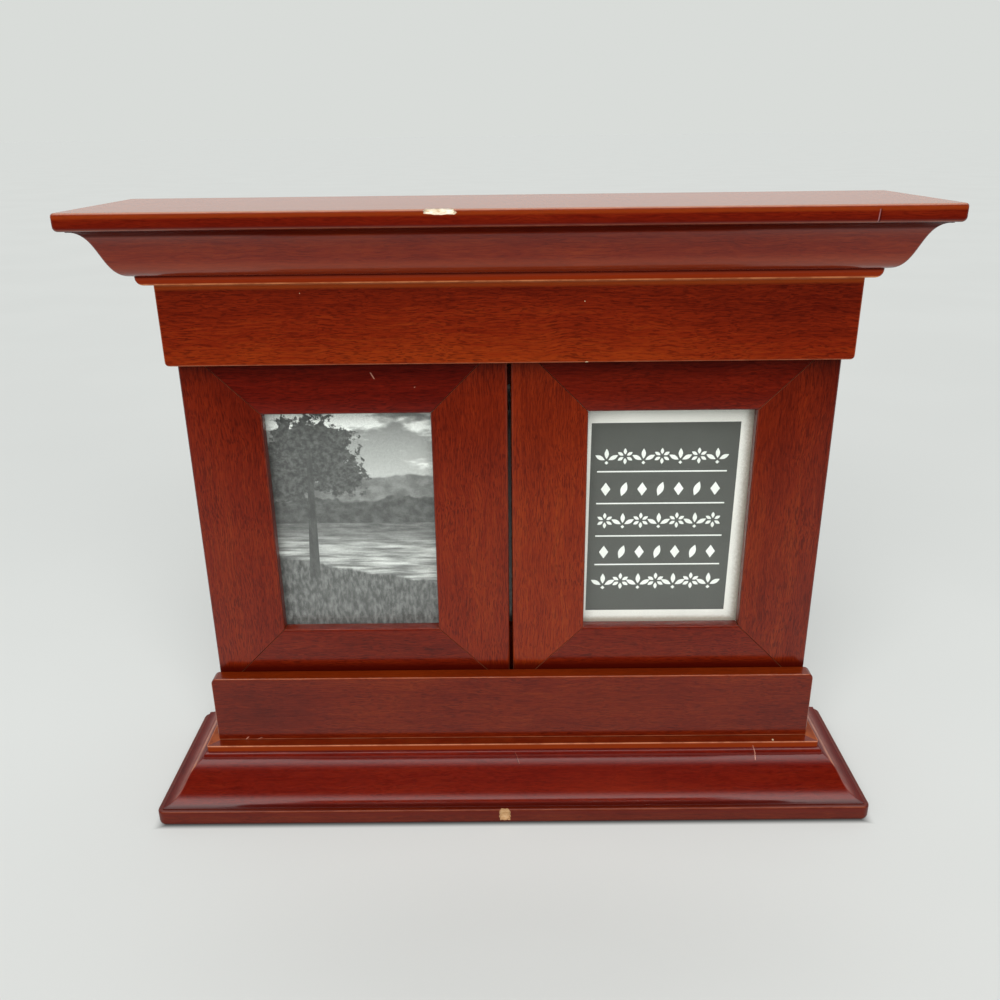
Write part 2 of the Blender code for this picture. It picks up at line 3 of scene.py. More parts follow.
import bmesh
import bpy
from mathutils import Matrix, Vector


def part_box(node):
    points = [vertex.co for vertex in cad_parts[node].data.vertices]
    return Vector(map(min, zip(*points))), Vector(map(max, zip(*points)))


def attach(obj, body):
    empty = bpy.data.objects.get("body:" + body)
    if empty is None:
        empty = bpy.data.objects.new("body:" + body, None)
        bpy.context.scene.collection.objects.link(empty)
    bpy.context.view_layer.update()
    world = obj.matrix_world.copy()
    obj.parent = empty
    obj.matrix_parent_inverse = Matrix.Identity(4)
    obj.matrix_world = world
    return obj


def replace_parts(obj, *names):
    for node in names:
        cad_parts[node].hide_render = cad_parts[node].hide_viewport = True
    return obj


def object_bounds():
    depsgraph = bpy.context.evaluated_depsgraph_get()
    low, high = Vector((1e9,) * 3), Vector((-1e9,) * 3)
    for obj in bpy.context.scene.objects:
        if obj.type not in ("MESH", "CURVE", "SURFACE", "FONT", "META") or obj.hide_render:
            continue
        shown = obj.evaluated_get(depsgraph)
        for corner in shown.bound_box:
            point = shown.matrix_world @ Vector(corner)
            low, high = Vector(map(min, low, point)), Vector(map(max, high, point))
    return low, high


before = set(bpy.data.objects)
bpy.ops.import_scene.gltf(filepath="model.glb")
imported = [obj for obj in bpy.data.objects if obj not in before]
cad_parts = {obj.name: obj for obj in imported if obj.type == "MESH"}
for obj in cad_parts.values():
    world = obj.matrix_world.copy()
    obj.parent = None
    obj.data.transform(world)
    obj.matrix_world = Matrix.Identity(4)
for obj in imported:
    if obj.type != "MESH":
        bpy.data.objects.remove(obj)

CAD_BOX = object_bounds()

# Lengths in this script are metres, and MM turns millimetres into them.
MM = 0.001

# The camera that was fitted to the photograph's corners.
CAMERA_PLACE = Vector((-0.001769, -0.309106, 0.238369))
CAMERA_YAW = radians(-0.332)
CAMERA_PITCH = radians(21.534)
CAMERA_ROLL = radians(-0.682)
CAMERA_LENS = 33.56

# Planes of the case, read from the CAD nodes.
BACK_Y = CAD_BOX[1].y
PANEL_FACE_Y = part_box("left_panel_top_rail")[0].y
CARD_FACE_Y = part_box("right_card")[0].y
CENTRE_BACK_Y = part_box("centre_top_rail")[1].y

# The mouldings' sections in millimetres.
BASE_CYMA = {"reach": 12.5, "rise": 12.5, "cove_pull": 7.4, "ovolo_pull": 6.6, "end_slope": 26}
BASE_QUIRK = 0.4
BASE_BEAD = (1.3, 2.0)
BASE_FILLET = (0.25, 2.5)
BASE_DEPTH = 24.1
CORNICE_CYMA = {"reach": 12.7, "rise": 14.3, "cove_pull": 7.0, "ovolo_pull": 6.9}
CORNICE_QUIRK = 0.5
CORNICE_RISER = 0.4
CORNICE_BEAD = (1.9, 2.8)
CORNICE_DEPTH = 23.3
GLUE_GAP = 0.3
CYMA_STEPS = 32
BEAD_STEPS = 10
MITRE_ROUND = 0.9 * MM
MITRE_STEPS = 4

# Linear colours.
WOOD_DEEP = (0.090, 0.0040, 0.0010)
WOOD_MID = (0.212, 0.0150, 0.0016)
WOOD_LIGHT = (0.330, 0.0400, 0.0032)
# Pale orange along arrises and sight edges: partly wear, partly painted highlights and reflections.
WORN_EDGE_AND_HIGHLIGHT = (0.520, 0.185, 0.090)
ORANGE_EDGE = (0.480, 0.110, 0.016)
AMBER = (0.340, 0.055, 0.006)
# A paler top face: a painted sheen for the grazing reflection of the bright room.
PAINTED_TOP_SHEEN = (0.390, 0.145, 0.058)
# A pinkish haze on the base's returns: a painted sheen for the lacquer's reflection.
PAINTED_SHEEN_SIDE = (0.450, 0.125, 0.085)
SCRATCHED = (0.560, 0.260, 0.180)
# Near black: painted shade at the base's foot, under the cornice board and at the panels' feet, and the
# colour of dark scratches.
DARK_SHADE_AND_SCRATCH = (0.040, 0.0015, 0.0004)
RAW_WOOD = (0.800, 0.620, 0.380)
RAW_WOOD_DARK = (0.500, 0.300, 0.130)
RAW_WOOD_LIGHT = (0.920, 0.800, 0.580)
WARM_BAND = (0.300, 0.050, 0.014)
BEAD_RED = (0.280, 0.026, 0.002)
# The cornice bead's lower edge: partly wear, partly a painted highlight.
BEAD_LIP = (0.800, 0.300, 0.120)
OLD_SCRATCH = (0.260, 0.110, 0.110)
CARD_STOCK = (0.840, 0.820, 0.770)
# The card's grey edge: aged card, and painted shade beside the window's right side.
CARD_AGED_AND_SHADED = (0.440, 0.380, 0.320)
CHARCOAL_INK = (0.088, 0.090, 0.082)
WHITE_INK = (0.860, 0.870, 0.830)
PRINT_WHITE = (0.985, 1.000, 0.965)
BACKDROP = (0.693, 0.716, 0.693)
FLOOR = (0.652, 0.673, 0.654)

# The wood's colours by tone, and the factors that turn raw wood into each chip's colour.
WOOD_STOPS = ((0.20, WOOD_DEEP), (0.5, WOOD_MID), (0.82, WOOD_LIGHT))
TOP_CHIP = (1.0, 1.12, 1.4)
LIP_CHIP = (0.54, 0.42, 0.33)

# The right panel's centre, and the halves of a panel's window and outline, in millimetres.
PANEL_CENTRE = (55.275, 109.075)
WINDOW_HALF = (28.575, 41.275)
PANEL_HALF = (54.675, 67.375)

# How bright and how orange each length of the panels' wood is. Part of this is painted light: the top
# rails are darker with painted shade from the frieze, and the inner stiles lighter with painted light.
PANEL_TONES = {
    "bottom_rail": {"left": (0.62, 0.85), "right": (0.62, 0.85)},
    "top_rail": {"left": (0.62, 0.60), "right": (0.66, 0.75)},
    "inner_stile": {"left": (0.82, 1.05), "right": (0.94, 1.20)},
    "outer_stile": {"left": (0.72, 0.95), "right": (0.72, 1.05)},
}

# The crowns of the pictures' trees: how far beside the trunk, how high and how wide.
CROWNS = ((0.045, 0.80, 0.17), (-0.095, 0.68, 0.13), (0.185, 0.69, 0.11))

# The card's print: its field, its rules' heights, and its rows' heights, motif sizes and kinds of motif.
CARD_FIELD = ((27.9, 71.6), (79.5, 71.5), (80.2, 144.5), (28.5, 144.4))
CARD_RULES = (126.55, 114.45, 101.8, 90.4)
CARD_ROWS = (
    (132.2, 6.1, ("bud", "rosette")),
    (119.9, 5.5, ("diamond", "leaf")),
    (107.8, 6.2, ("rosette", "bud")),
    (95.4, 5.5, ("diamond", "leaf")),
    (83.6, 6.7, ("bud", "rosette")),
)
MOTIFS = 7
FIRST_MOTIF_X = 34.0
MOTIF_PITCH = 6.48
INK_THICKNESS = 0.03 * MM
FIELD_Y = CARD_FACE_Y - INK_THICKNESS
ORNAMENT_Y = FIELD_Y - INK_THICKNESS

# The turn buttons' screws, in millimetres.
BUTTON_ASIDE = {"left": -45.0, "right": 45.0}
BUTTON_LEVEL = {"top": 166.225, "bottom": 52.125}
SCREW_SHANK = ((0.0, -5.8), (0.45, -5.4), (1.2, -3.6), (1.2, 1.7), (2.65, 1.7))
SCREW_HEAD = (2.8, 1.4)

# The lamp, and how bright the room is as fill and in reflections.
LAMP_POWER = 3.1
LAMP_SPREAD = radians(58)
LAMP_TOWARDS = Vector((0.03, 0.78, -0.63))
FILL_LEVEL = 0.44
CEILING_LEVEL = 2.8
ROOM_LEVEL = 0.70


class Graph:
    """A material or world whose shader nodes are added and wired by short calls."""

    def __init__(self, holder):
        holder.use_nodes = True
        self.holder = holder
        self.nodes = holder.node_tree.nodes
        self.links = holder.node_tree.links
        self.nodes.clear()

    def feed(self, socket, value):
        """Wires a socket to another, or sets its value."""
        if isinstance(value, bpy.types.NodeSocket):
            self.links.new(value, socket)
        elif isinstance(value, (tuple, list, Vector)) and socket.type == "RGBA":
            socket.default_value = (*value, 1.0)
        else:
            socket.default_value = value

    def node(self, kind, inputs=None, **settings):
        node = self.nodes.new(kind)
        for key, value in settings.items():
            setattr(node, key, value)
        for key, value in (inputs or {}).items():
            self.feed(node.inputs[key], value)
        return node

    def math(self, operation, a, b=0.0, c=0.0):
        return self.node("ShaderNodeMath", {0: a, 1: b, 2: c}, operation=operation).outputs[0]

    def times(self, a, b):
        return self.math("MULTIPLY", a, b)

    def times_plus(self, a, b, c):
        return self.math("MULTIPLY_ADD", a, b, c)

    def minus(self, a, b):
        return self.math("SUBTRACT", a, b)

    def vector(self, operation, a, b=(0, 0, 0)):
        return self.node("ShaderNodeVectorMath", {0: a, 1: b}, operation=operation).outputs[0]

    def length(self, vector):
        return self.node("ShaderNodeVectorMath", {0: vector}, operation="LENGTH").outputs[1]

    def mix(self, factor, a, b, blend="MIX"):
        node = self.node("ShaderNodeMix", data_type="RGBA", blend_type=blend)
        self.feed(node.inputs[0], factor)
        self.feed(node.inputs[6], a)
        self.feed(node.inputs[7], b)
        return node.outputs[2]

    def blend(self, factor, a, b):
        return self.node("ShaderNodeMix", {0: factor, 2: a, 3: b}, data_type="FLOAT").outputs[0]

    def spread(self, value, low, high, to_low=0.0, to_high=1.0, smooth=True):
        """Maps a range of values onto another, held at its ends."""
        inputs = {0: value, 1: low, 2: high, 3: to_low, 4: to_high}
        kind = "SMOOTHSTEP" if smooth else "LINEAR"
        return self.node("ShaderNodeMapRange", inputs, interpolation_type=kind).outputs[0]

    def place(self):
        return self.node("ShaderNodeTexCoord").outputs["Object"]

    def split(self, vector):
        return self.node("ShaderNodeSeparateXYZ", {0: vector}).outputs

    def join(self, x, y, z):
        return self.node("ShaderNodeCombineXYZ", {0: x, 1: y, 2: z}).outputs[0]

    def scaled(self, vector, scale, shift=(0, 0, 0)):
        """Coordinates multiplied by one number or by three."""
        factors = scale if isinstance(scale, tuple) else (scale, scale, scale)
        inputs = {"Vector": vector, "Scale": factors, "Location": shift}
        return self.node("ShaderNodeMapping", inputs).outputs[0]

    def noise(self, vector, scale=1.0, detail=3.0, rough=0.5, output=0):
        inputs = {"Vector": vector, "Scale": scale, "Detail": detail, "Roughness": rough}
        return self.node("ShaderNodeTexNoise", inputs).outputs[output]

    def ramp(self, value, stops):
        """A colour ramp from (position, colour) stops."""
        node = self.node("ShaderNodeValToRGB", {0: value})
        elements = node.color_ramp.elements
        while len(elements) < len(stops):
            elements.new(0.5)
        for element, (position, colour) in zip(elements, stops):
            element.position = position
            element.color = (*colour, 1.0)
        return node.outputs[0]

    def bump(self, height, distance):
        inputs = {"Height": height, "Distance": distance, "Strength": 1.0}
        return self.node("ShaderNodeBump", inputs).outputs[0]

    def principled(self, **sockets):
        """A Principled shader, with a socket's spaces written as underscores."""
        named = {key.replace("_", " "): value for key, value in sockets.items()}
        return self.node("ShaderNodeBsdfPrincipled", named).outputs[0]

    def finish(self, shader):
        kind = "World" if isinstance(self.holder, bpy.types.World) else "Material"
        self.node(f"ShaderNodeOutput{kind}", {0: shader})
        return self.holder

    def paint(self, **sockets):
        """Finishes a material with one Principled shader."""
        return self.finish(self.principled(**sockets))


def new_material(name):
    """A new material's graph, and the place that is shaded."""
    graph = Graph(bpy.data.materials.new(name))
    return graph, graph.place()


def in_metres(values):
    """Turns millimetres into metres."""
    return tuple(value * MM for value in values)


def far_from(graph, place, centre, radii):
    """How far a place is from a centre, in multiples of an ellipsoid's radii in millimetres."""
    offset = graph.vector("SUBTRACT", place, in_metres(centre))
    return graph.length(graph.vector("DIVIDE", offset, in_metres(radii)))


def bare_spot(graph, place, centre, radii):
    """One inside a small ragged ellipsoid."""
    ragged = graph.math("ADD", far_from(graph, place, centre, radii), graph.noise(place, 1900, 2))
    return graph.spread(ragged, 1.85, 1.15)


def board_edges(corners, width=0.5):
    """A mask of a board's edges, from the second smallest distance to its faces."""

    def mask(graph, place):
        gaps = []
        for value, low, high in zip(graph.split(place), *corners):
            gaps.append(graph.math("MINIMUM", graph.minus(value, low), graph.minus(high, value)))
        least = graph.math("MINIMUM", gaps[0], gaps[1])
        most = graph.math("MAXIMUM", gaps[0], gaps[1])
        middle = graph.math("MAXIMUM", least, graph.math("MINIMUM", most, gaps[2]))
        return graph.spread(middle, width * MM, width * 0.2 * MM)

    return mask


def level_band(low, high, soft=0.15):
    """A mask of the heights between two, in millimetres."""

    def mask(graph, place):
        z = graph.split(place)[2]
        over = graph.spread(z, (low - soft) * MM, (low + soft) * MM)
        under = graph.spread(z, (high + soft) * MM, (high - soft) * MM)
        return graph.times(over, under)

    return mask


def moulding_line(box, inset, height, width):
    """A mask of one arris that runs along the front and both returns of a box."""
    half, front_y = box[1].x, box[0].y

    def mask(graph, place):
        x, y, z = graph.split(place)
        from_front = graph.minus(y, front_y)
        from_side = graph.minus(half, graph.math("ABSOLUTE", x))
        sideways = graph.minus(graph.math("MINIMUM", from_front, from_side), inset * MM)
        upwards = graph.minus(z, height * MM)
        distance = graph.length(graph.join(sideways, upwards, 0.0))
        return graph.spread(distance, width * MM, width * 0.3 * MM)

    return mask


def beyond(graph, place, centre, half):
    """How far a place lies outside a centred upright rectangle, sideways and upwards."""
    x, _, z = graph.split(place)
    past = []
    for value, middle, reach in ((x, centre[0], half[0]), (z, centre[1], half[1])):
        offset = graph.math("ABSOLUTE", graph.minus(value, middle * MM))
        past.append(graph.minus(offset, reach * MM))
    return past


def window_line(centre, half, width):
    """A mask of an upright rectangle's outline on the panels' faces."""

    def mask(graph, place):
        nearest = graph.math("MAXIMUM", *beyond(graph, place, centre, half))
        depth = graph.minus(graph.split(place)[1], PANEL_FACE_Y)
        distance = graph.length(graph.join(nearest, depth, 0.0))
        return graph.spread(distance, width * MM, width * 0.3 * MM)

    return mask


def mitre_line(centre, half, width):
    """A mask of the slanting joints that run outwards from an upright rectangle's corners."""

    def mask(graph, place):
        gap = graph.math("ABSOLUTE", graph.minus(*beyond(graph, place, centre, half)))
        return graph.spread(gap, width * MM, width * 0.4 * MM)

    return mask


def leaning_mark(foot, head, width):
    """A mask of a thin scratch on the front, between two (x, z) places in millimetres."""
    lean = (head[0] - foot[0]) / (head[1] - foot[1])

    def mask(graph, place):
        x, y, z = graph.split(place)
        middle = graph.times_plus(z, lean, (foot[0] - foot[1] * lean) * MM)
        aside = graph.math("ABSOLUTE", graph.minus(x, middle))
        thin = graph.spread(aside, width * MM, width * 0.4 * MM)
        ends = level_band(foot[1], head[1])(graph, place)
        return graph.times(graph.times(thin, ends), graph.math("LESS_THAN", y, 0.0))

    return mask


def wood_figure(graph, place, grain, seed):
    """The wood's streaks, fibres and pores, and the tone that they add up to."""
    warped = place
    for scale, reach in ((60, 3.0), (330, 0.3)):
        across = [reach * MM] * 3
        across[grain] = 0.0
        sway = graph.noise(graph.scaled(place, scale), 1, 1, output=1)
        centred = graph.vector("SUBTRACT", sway, (0.5, 0.5, 0.5))
        warped = graph.vector("ADD", warped, graph.vector("MULTIPLY", centred, tuple(across)))

    def along(length, width, shift):
        """Coordinates stretched so that a noise cell is length by width millimetres."""
        scale = [1 / (width * MM)] * 3
        scale[grain] = 1 / (length * MM)
        return graph.scaled(warped, tuple(scale), (shift, shift * 1.7, seed))

    figure = graph.noise(along(90, 7.0, seed), 1, 3, 0.55)
    streak = graph.noise(along(26, 1.0, seed + 3), 1, 3, 0.6)
    fibre = graph.noise(along(9, 0.36, seed + 7), 1, 2, 0.6)
    pore = graph.noise(along(3.4, 0.27, seed + 11), 1, 1, 0.5)
    mottle = graph.noise(graph.scaled(place, 34, (seed, 0, 4)), 1, 2)
    gathering = graph.noise(graph.scaled(place, 55, (seed, 9, 2)), 1, 2)
    pores = graph.times(graph.spread(pore, 0.51, 0.61), graph.spread(gathering, 0.3, 0.65, 0.60, 1.0))
    tone = graph.times(figure, 0.30)
    for part, weight in ((streak, 0.36), (fibre, 0.44), (mottle, 0.20)):
        tone = graph.times_plus(part, weight, tone)
    return streak, fibre, pores, graph.minus(tone, 0.13)


def wood(
    name, grain, shade=1.0, warm=1.0, seed=0.0, tints=(), touches=(), matt=(), spots=(), tone_patches=(),
    climb=None, coat=0.75, satin=0.16, pore=0.55,
):
    """Red-stained, lacquered wood whose grain runs along axis 0, 1 or 2.

    Shade and warm scale its brightness and its orange. Tints and touches are (mask, colour, strength),
    and touches are patchy. Some tints and touches are painted shade, painted highlights and painted
    reflections. Matt masks have no lacquer. Spots are small bare places, tone patches are broad
    (centre, radii, amount) changes of tone, and climb is a change of tone between two heights. Some
    climbs and tone patches are painted shade.
    Coat and satin are the lacquer's weight and roughness, and pore is the pores' strength.
    """
    graph, place = new_material(name)
    streak, fibre, pores, tone = wood_figure(graph, place, grain, seed)
    if climb:
        low, high, at_low, at_high = climb
        rise = graph.spread(graph.split(place)[2], low * MM, high * MM, at_low, at_high, smooth=False)
        tone = graph.math("ADD", tone, rise)
    for centre, radii, amount in tone_patches:
        tone_patch = graph.spread(far_from(graph, place, centre, radii), 0.0, 1.0, amount, 0.0)
        tone = graph.math("ADD", tone, tone_patch)
    stops = []
    for position, (red, green, blue) in WOOD_STOPS:
        stops.append((position, (red * shade, green * shade * warm, blue * shade)))
    deep = tuple(0.50 * value * shade for value in WOOD_DEEP)
    colour = graph.mix(graph.times(pores, pore), graph.ramp(tone, stops), deep)

    rough = graph.times_plus(streak, 0.22, 0.30)
    patches = graph.noise(graph.scaled(place, 110, (seed, 2, 1)), 1, 4, 0.65)
    patchy = graph.spread(patches, 0.34, 0.62, 0.45, 1.0)
    for mask, tint, strength in tints:
        colour = graph.mix(graph.times(mask(graph, place), strength), colour, tint)
    # Touches are worn edges and scratches, and also painted highlights and reflections.
    for mask, wear_and_light_colour, strength in touches:
        wear_and_light = graph.times(graph.times(mask(graph, place), patchy), strength)
        colour = graph.mix(wear_and_light, colour, wear_and_light_colour)
        rough = graph.blend(wear_and_light, rough, 0.55)
    for centre, radii in spots:
        spot = graph.times(bare_spot(graph, place, centre, radii), 0.8)
        colour = graph.mix(spot, colour, RAW_WOOD)
        rough = graph.blend(spot, rough, 0.7)

    lacquer = graph.times_plus(streak, 0.2, coat - 0.1)
    for mask in matt:
        lacquer = graph.times(lacquer, graph.minus(1.0, mask(graph, place)))

    relief = graph.times_plus(fibre, 0.35, graph.times(pores, -0.5))
    return graph.paint(
        Base_Color=colour,
        Roughness=rough,
        Specular_IOR_Level=0.05,
        Coat_Weight=lacquer,
        Coat_Roughness=satin,
        Coat_IOR=1.5,
        Normal=graph.bump(relief, 0.02 * MM),
    )


def raw_wood(name, shade=(1.0, 1.0, 1.0)):
    """Bare pale wood where the finish has chipped off. Shade scales its colour."""
    graph, place = new_material(name)
    splinter = graph.noise(graph.scaled(place, (260, 2600, 2600)), 1, 3, 0.65)
    blotch = graph.noise(place, 620, 2)
    tone = graph.times_plus(splinter, 0.6, graph.times(blotch, 0.4))
    stops = [(0.36, RAW_WOOD_DARK), (0.50, RAW_WOOD), (0.70, RAW_WOOD_LIGHT)]
    colour = graph.mix(1.0, graph.ramp(tone, stops), shade, "MULTIPLY")
    normal = graph.bump(splinter, 0.12 * MM)
    return graph.paint(Base_Color=colour, Roughness=0.8, Specular_IOR_Level=0.25, Normal=normal)


def inner_wood(name, grain):
    """Unlacquered stained wood of the case's hidden inner faces."""
    return wood(name, grain, shade=0.55, seed=grain * 5.0 + 2, coat=0.15)


def hardboard():
    """Brown pressed fibreboard of the backs."""
    graph, place = new_material("hardboard")
    fibres = graph.noise(graph.scaled(place, 900), 1, 4, 0.7)
    flecks = graph.spread(graph.noise(graph.scaled(place, (2600, 2600, 1500)), 1, 1), 0.62, 0.72)
    clouds = graph.noise(place, 38, 2)
    tone = graph.times_plus(fibres, 0.7, graph.times(clouds, 0.3))
    stops = [(0.3, (0.12, 0.06, 0.026)), (0.52, (0.19, 0.10, 0.047)), (0.75, (0.27, 0.155, 0.08))]
    colour = graph.mix(graph.times(flecks, 0.5), graph.ramp(tone, stops), (0.34, 0.235, 0.14))
    rough = graph.spread(fibres, 0.2, 0.8, 0.62, 0.85)
    normal = graph.bump(fibres, 0.05 * MM)
    return graph.paint(Base_Color=colour, Roughness=rough, Specular_IOR_Level=0.3, Normal=normal)


def plated_steel():
    """Dull zinc plate with fine brushing."""
    graph, place = new_material("zinc_plate")
    brushed = graph.noise(graph.scaled(place, (900, 900, 9000)), 1, 2)
    clouds = graph.noise(place, 420, 3, 0.6)
    colour = graph.mix(clouds, (0.60, 0.585, 0.55), (0.78, 0.77, 0.74))
    rough = graph.times_plus(clouds, 0.18, graph.times_plus(brushed, 0.12, 0.22))
    normal = graph.bump(brushed, 0.004 * MM)
    return graph.paint(Base_Color=colour, Metallic=1.0, Roughness=rough, Normal=normal)


def glass():
    """Thin picture glass. Lamp light passes straight through it."""
    graph, place = new_material("picture_glass")
    pane = graph.principled(
        Base_Color=(0.985, 0.995, 0.988),
        Roughness=graph.spread(graph.noise(place, 45, 3, 0.6), 0.45, 0.8, 0.0, 0.05),
        IOR=1.46,
        Transmission_Weight=1.0,
        Specular_IOR_Level=0.5,
    )
    clear = graph.node("ShaderNodeBsdfTransparent", {0: (0.97, 0.985, 0.975)}).outputs[0]
    path = graph.node("ShaderNodeLightPath").outputs
    passing = graph.math("MAXIMUM", path["Is Shadow Ray"], path["Is Diffuse Ray"])
    return graph.finish(graph.node("ShaderNodeMixShader", {0: passing, 1: pane, 2: clear}).outputs[0])


def paper(name, colour, rough=0.55, wear_and_light=None):
    """Slightly mottled card or printing ink. Wear_and_light is a mask and its colour: age and painted
    shade.
    """
    graph, place = new_material(name)
    grain = graph.noise(place, 2600, 3, 0.6)
    clouds = graph.noise(place, 60, 2)
    tone = graph.times_plus(grain, 0.5, graph.times(clouds, 0.5))
    low = tuple(value * 0.92 for value in colour)
    high = tuple(value * 1.08 for value in colour)
    shade = graph.ramp(tone, [(0.32, low), (0.68, high)])
    if wear_and_light:
        mask, wear_and_light_colour = wear_and_light
        shade = graph.mix(mask(graph, place), shade, wear_and_light_colour)
    normal = graph.bump(grain, 0.006 * MM)
    return graph.paint(Base_Color=shade, Roughness=rough, Specular_IOR_Level=0.35, Normal=normal)


def landscape(name, node, seed, tree):
    """A monochrome photograph of no particular place: sky, hills, a lake, a tree and a grassy bank."""
    graph, place = new_material(name)
    x, _, z = graph.split(place)
    low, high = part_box(node)
    width, height = high.x - low.x, high.z - low.z
    u = graph.math("DIVIDE", graph.minus(x, low.x), width)
    v = graph.math("DIVIDE", graph.minus(z, low.z), height)
    stretch = width / height

    def wander(scale_u, scale_v, shift, detail=4.0, rough=0.6):
        """A noise over the picture, with its own scale each way."""
        across = graph.times(u, scale_u * stretch)
        up = graph.times(v, scale_v)
        return graph.noise(graph.join(across, up, seed + shift), 1, detail, rough)

    def below(level, roll, shift, scale, soft=0.006):
        """One under a wandering skyline."""
        line = graph.times_plus(wander(scale, 0.0, shift), roll, level - roll / 2)
        return graph.spread(graph.minus(line, v), -soft, soft)

    def tones(value, dark, bright):
        return graph.spread(value, 0.3, 0.7, dark, bright)

    def over(under, mask, value):
        return graph.blend(mask, under, value)

    sky = graph.spread(v, 0.55, 1.0, 0.52, 0.26)
    sky = over(sky, graph.spread(wander(3, 7, 1), 0.48, 0.62, 0.0, 0.85), 0.86)
    scene = over(sky, below(0.68, 0.16, 2, 2.2), tones(wander(14, 20, 3), 0.17, 0.30))
    scene = over(scene, below(0.59, 0.13, 4, 4.5), tones(wander(26, 34, 5), 0.05, 0.16))
    lake = below(0.485, 0.0, 7, 1.0, 0.003)
    scene = over(scene, lake, tones(wander(5, 60, 6), 0.18, 0.56))
    shore = graph.times(lake, graph.spread(v, 0.36, 0.47, 0.0, 0.75))
    scene = over(scene, shore, tones(wander(18, 70, 8), 0.05, 0.18))
    bank_rise = graph.times_plus(u, -0.14, 0.315)
    bank_line = graph.times_plus(wander(9, 0, 9), 0.06, bank_rise)
    bank = graph.spread(graph.minus(bank_line, v), -0.006, 0.012)
    scene = over(scene, bank, tones(wander(60, 24, 10), 0.045, 0.24))

    def crown(centre_u, centre_v, radius, shift):
        """A leafy mass with a ragged outline."""
        du = graph.times(graph.minus(u, centre_u), stretch)
        dv = graph.times(graph.minus(v, centre_v), 1.15)
        distance = graph.length(graph.join(du, dv, 0.0))
        ragged = graph.times_plus(wander(17, 17, shift, 5, 0.7), 0.34, distance)
        return graph.spread(ragged, radius + 0.175, radius + 0.155)

    leaves = tones(wander(48, 48, 11, 3, 0.75), 0.02, 0.17)
    for part, (aside, centre_v, radius) in enumerate(CROWNS):
        scene = over(scene, crown(tree + aside, centre_v, radius, 12 + part), leaves)
    lean = graph.times_plus(v, 0.05, tree)
    trunk_gap = graph.math("ABSOLUTE", graph.minus(u, lean))
    girth = graph.spread(v, 0.22, 0.75, 0.030, 0.016)
    trunk = graph.math("LESS_THAN", trunk_gap, girth)
    stands = graph.times(graph.spread(v, 0.235, 0.25), graph.spread(v, 0.80, 0.74))
    scene = over(scene, graph.times(trunk, stands), tones(wander(40, 16, 16), 0.03, 0.11))

    # The print's contrast curve. Its lifted blacks are partly a painted veil of the glass's reflection.
    scene = graph.times_plus(scene, graph.times_plus(scene, 1.6, 0.30), 0.065)
    scene = graph.math("MINIMUM", scene, 0.95)
    grain = graph.noise(place, 3600, 2, 0.7)
    scene = graph.times(scene, graph.spread(grain, 0.2, 0.8, 0.80, 1.20))
    colour = graph.mix(1.0, PRINT_WHITE, scene, "MULTIPLY")
    normal = graph.bump(grain, 0.002 * MM)
    return graph.paint(Base_Color=colour, Roughness=0.38, Specular_IOR_Level=0.4, Normal=normal)


def level_normals(piece):
    """Makes the wide faces shade flat beside their rounded edges."""
    piece.modifiers.new("normals", "WEIGHTED_NORMAL").weight = 80


def add_object(name, data):
    """Puts a mesh, a camera or a lamp into the scene."""
    added = bpy.data.objects.new(name, data)
    bpy.context.scene.collection.objects.link(added)
    return added


def mesh_object(name, bm, materials, body=None, smooth=True):
    """A new piece from a bmesh. It rides on a body, if one is given."""
    mesh = bpy.data.meshes.new(name)
    bmesh.ops.recalc_face_normals(bm, faces=bm.faces)
    bm.to_mesh(mesh)
    bm.free()
    piece = add_object(name, mesh)
    for finish in materials:
        mesh.materials.append(finish)
    mesh.polygons.foreach_set("use_smooth", [smooth] * len(mesh.polygons))
    if body:
        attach(piece, body)
    return piece


def soften(piece, width, segments=2, angle=35):
    """Rounds a piece's sharp edges with a bevel that keeps the flat faces flat."""
    bevel = piece.modifiers.new("edges", "BEVEL")
    bevel.width = width
    bevel.segments = segments
    bevel.angle_limit = radians(angle)
    bevel.harden_normals = True


def settle(piece):
    """Turns a piece's modifiers into its mesh."""
    shaped = bpy.data.meshes.new_from_object(piece.evaluated_get(bpy.context.evaluated_depsgraph_get()))
    piece.modifiers.clear()
    piece.data = shaped


def drop_normals(mesh):
    """Removes a mesh's stored normals, so that its smooth shading follows its shape."""
    if "custom_normal" in mesh.attributes:
        mesh.attributes.remove(mesh.attributes["custom_normal"])


def carve(piece, bm, finish):
    """Cuts a bmesh's shape out of a piece and gives the cut a finish."""
    cutter = mesh_object("cutter", bm, [finish])
    if finish.name not in piece.data.materials:
        piece.data.materials.append(finish)
    cut = piece.modifiers.new("cut", "BOOLEAN")
    cut.object = cutter
    cut.solver = "EXACT"
    cut.material_mode = "TRANSFER"
    settle(piece)
    drop_normals(piece.data)
    bpy.data.objects.remove(cutter)


def edges_of(bm, test):
    """The edges whose middle and direction pass a test."""
    found = []
    for edge in bm.edges:
        low, high = edge.verts[0].co, edge.verts[1].co
        if test((low + high) / 2, (high - low).normalized()):
            found.append(edge)
    return found


def box_bmesh(low, high):
    """A box between two corners in metres."""
    bm = bmesh.new()
    bmesh.ops.create_cube(bm, size=1.0)
    size = high - low
    for vertex in bm.verts:
        vertex.co = Vector(c * s for c, s in zip(vertex.co, size)) + (low + high) / 2
    return bm


def rounded(bm, edges, radius, segments):
    """Rounds some of a bmesh's edges, with a radius in millimetres."""
    bmesh.ops.bevel(bm, geom=edges, offset=radius * MM, segments=segments, affect="EDGES", profile=0.5)


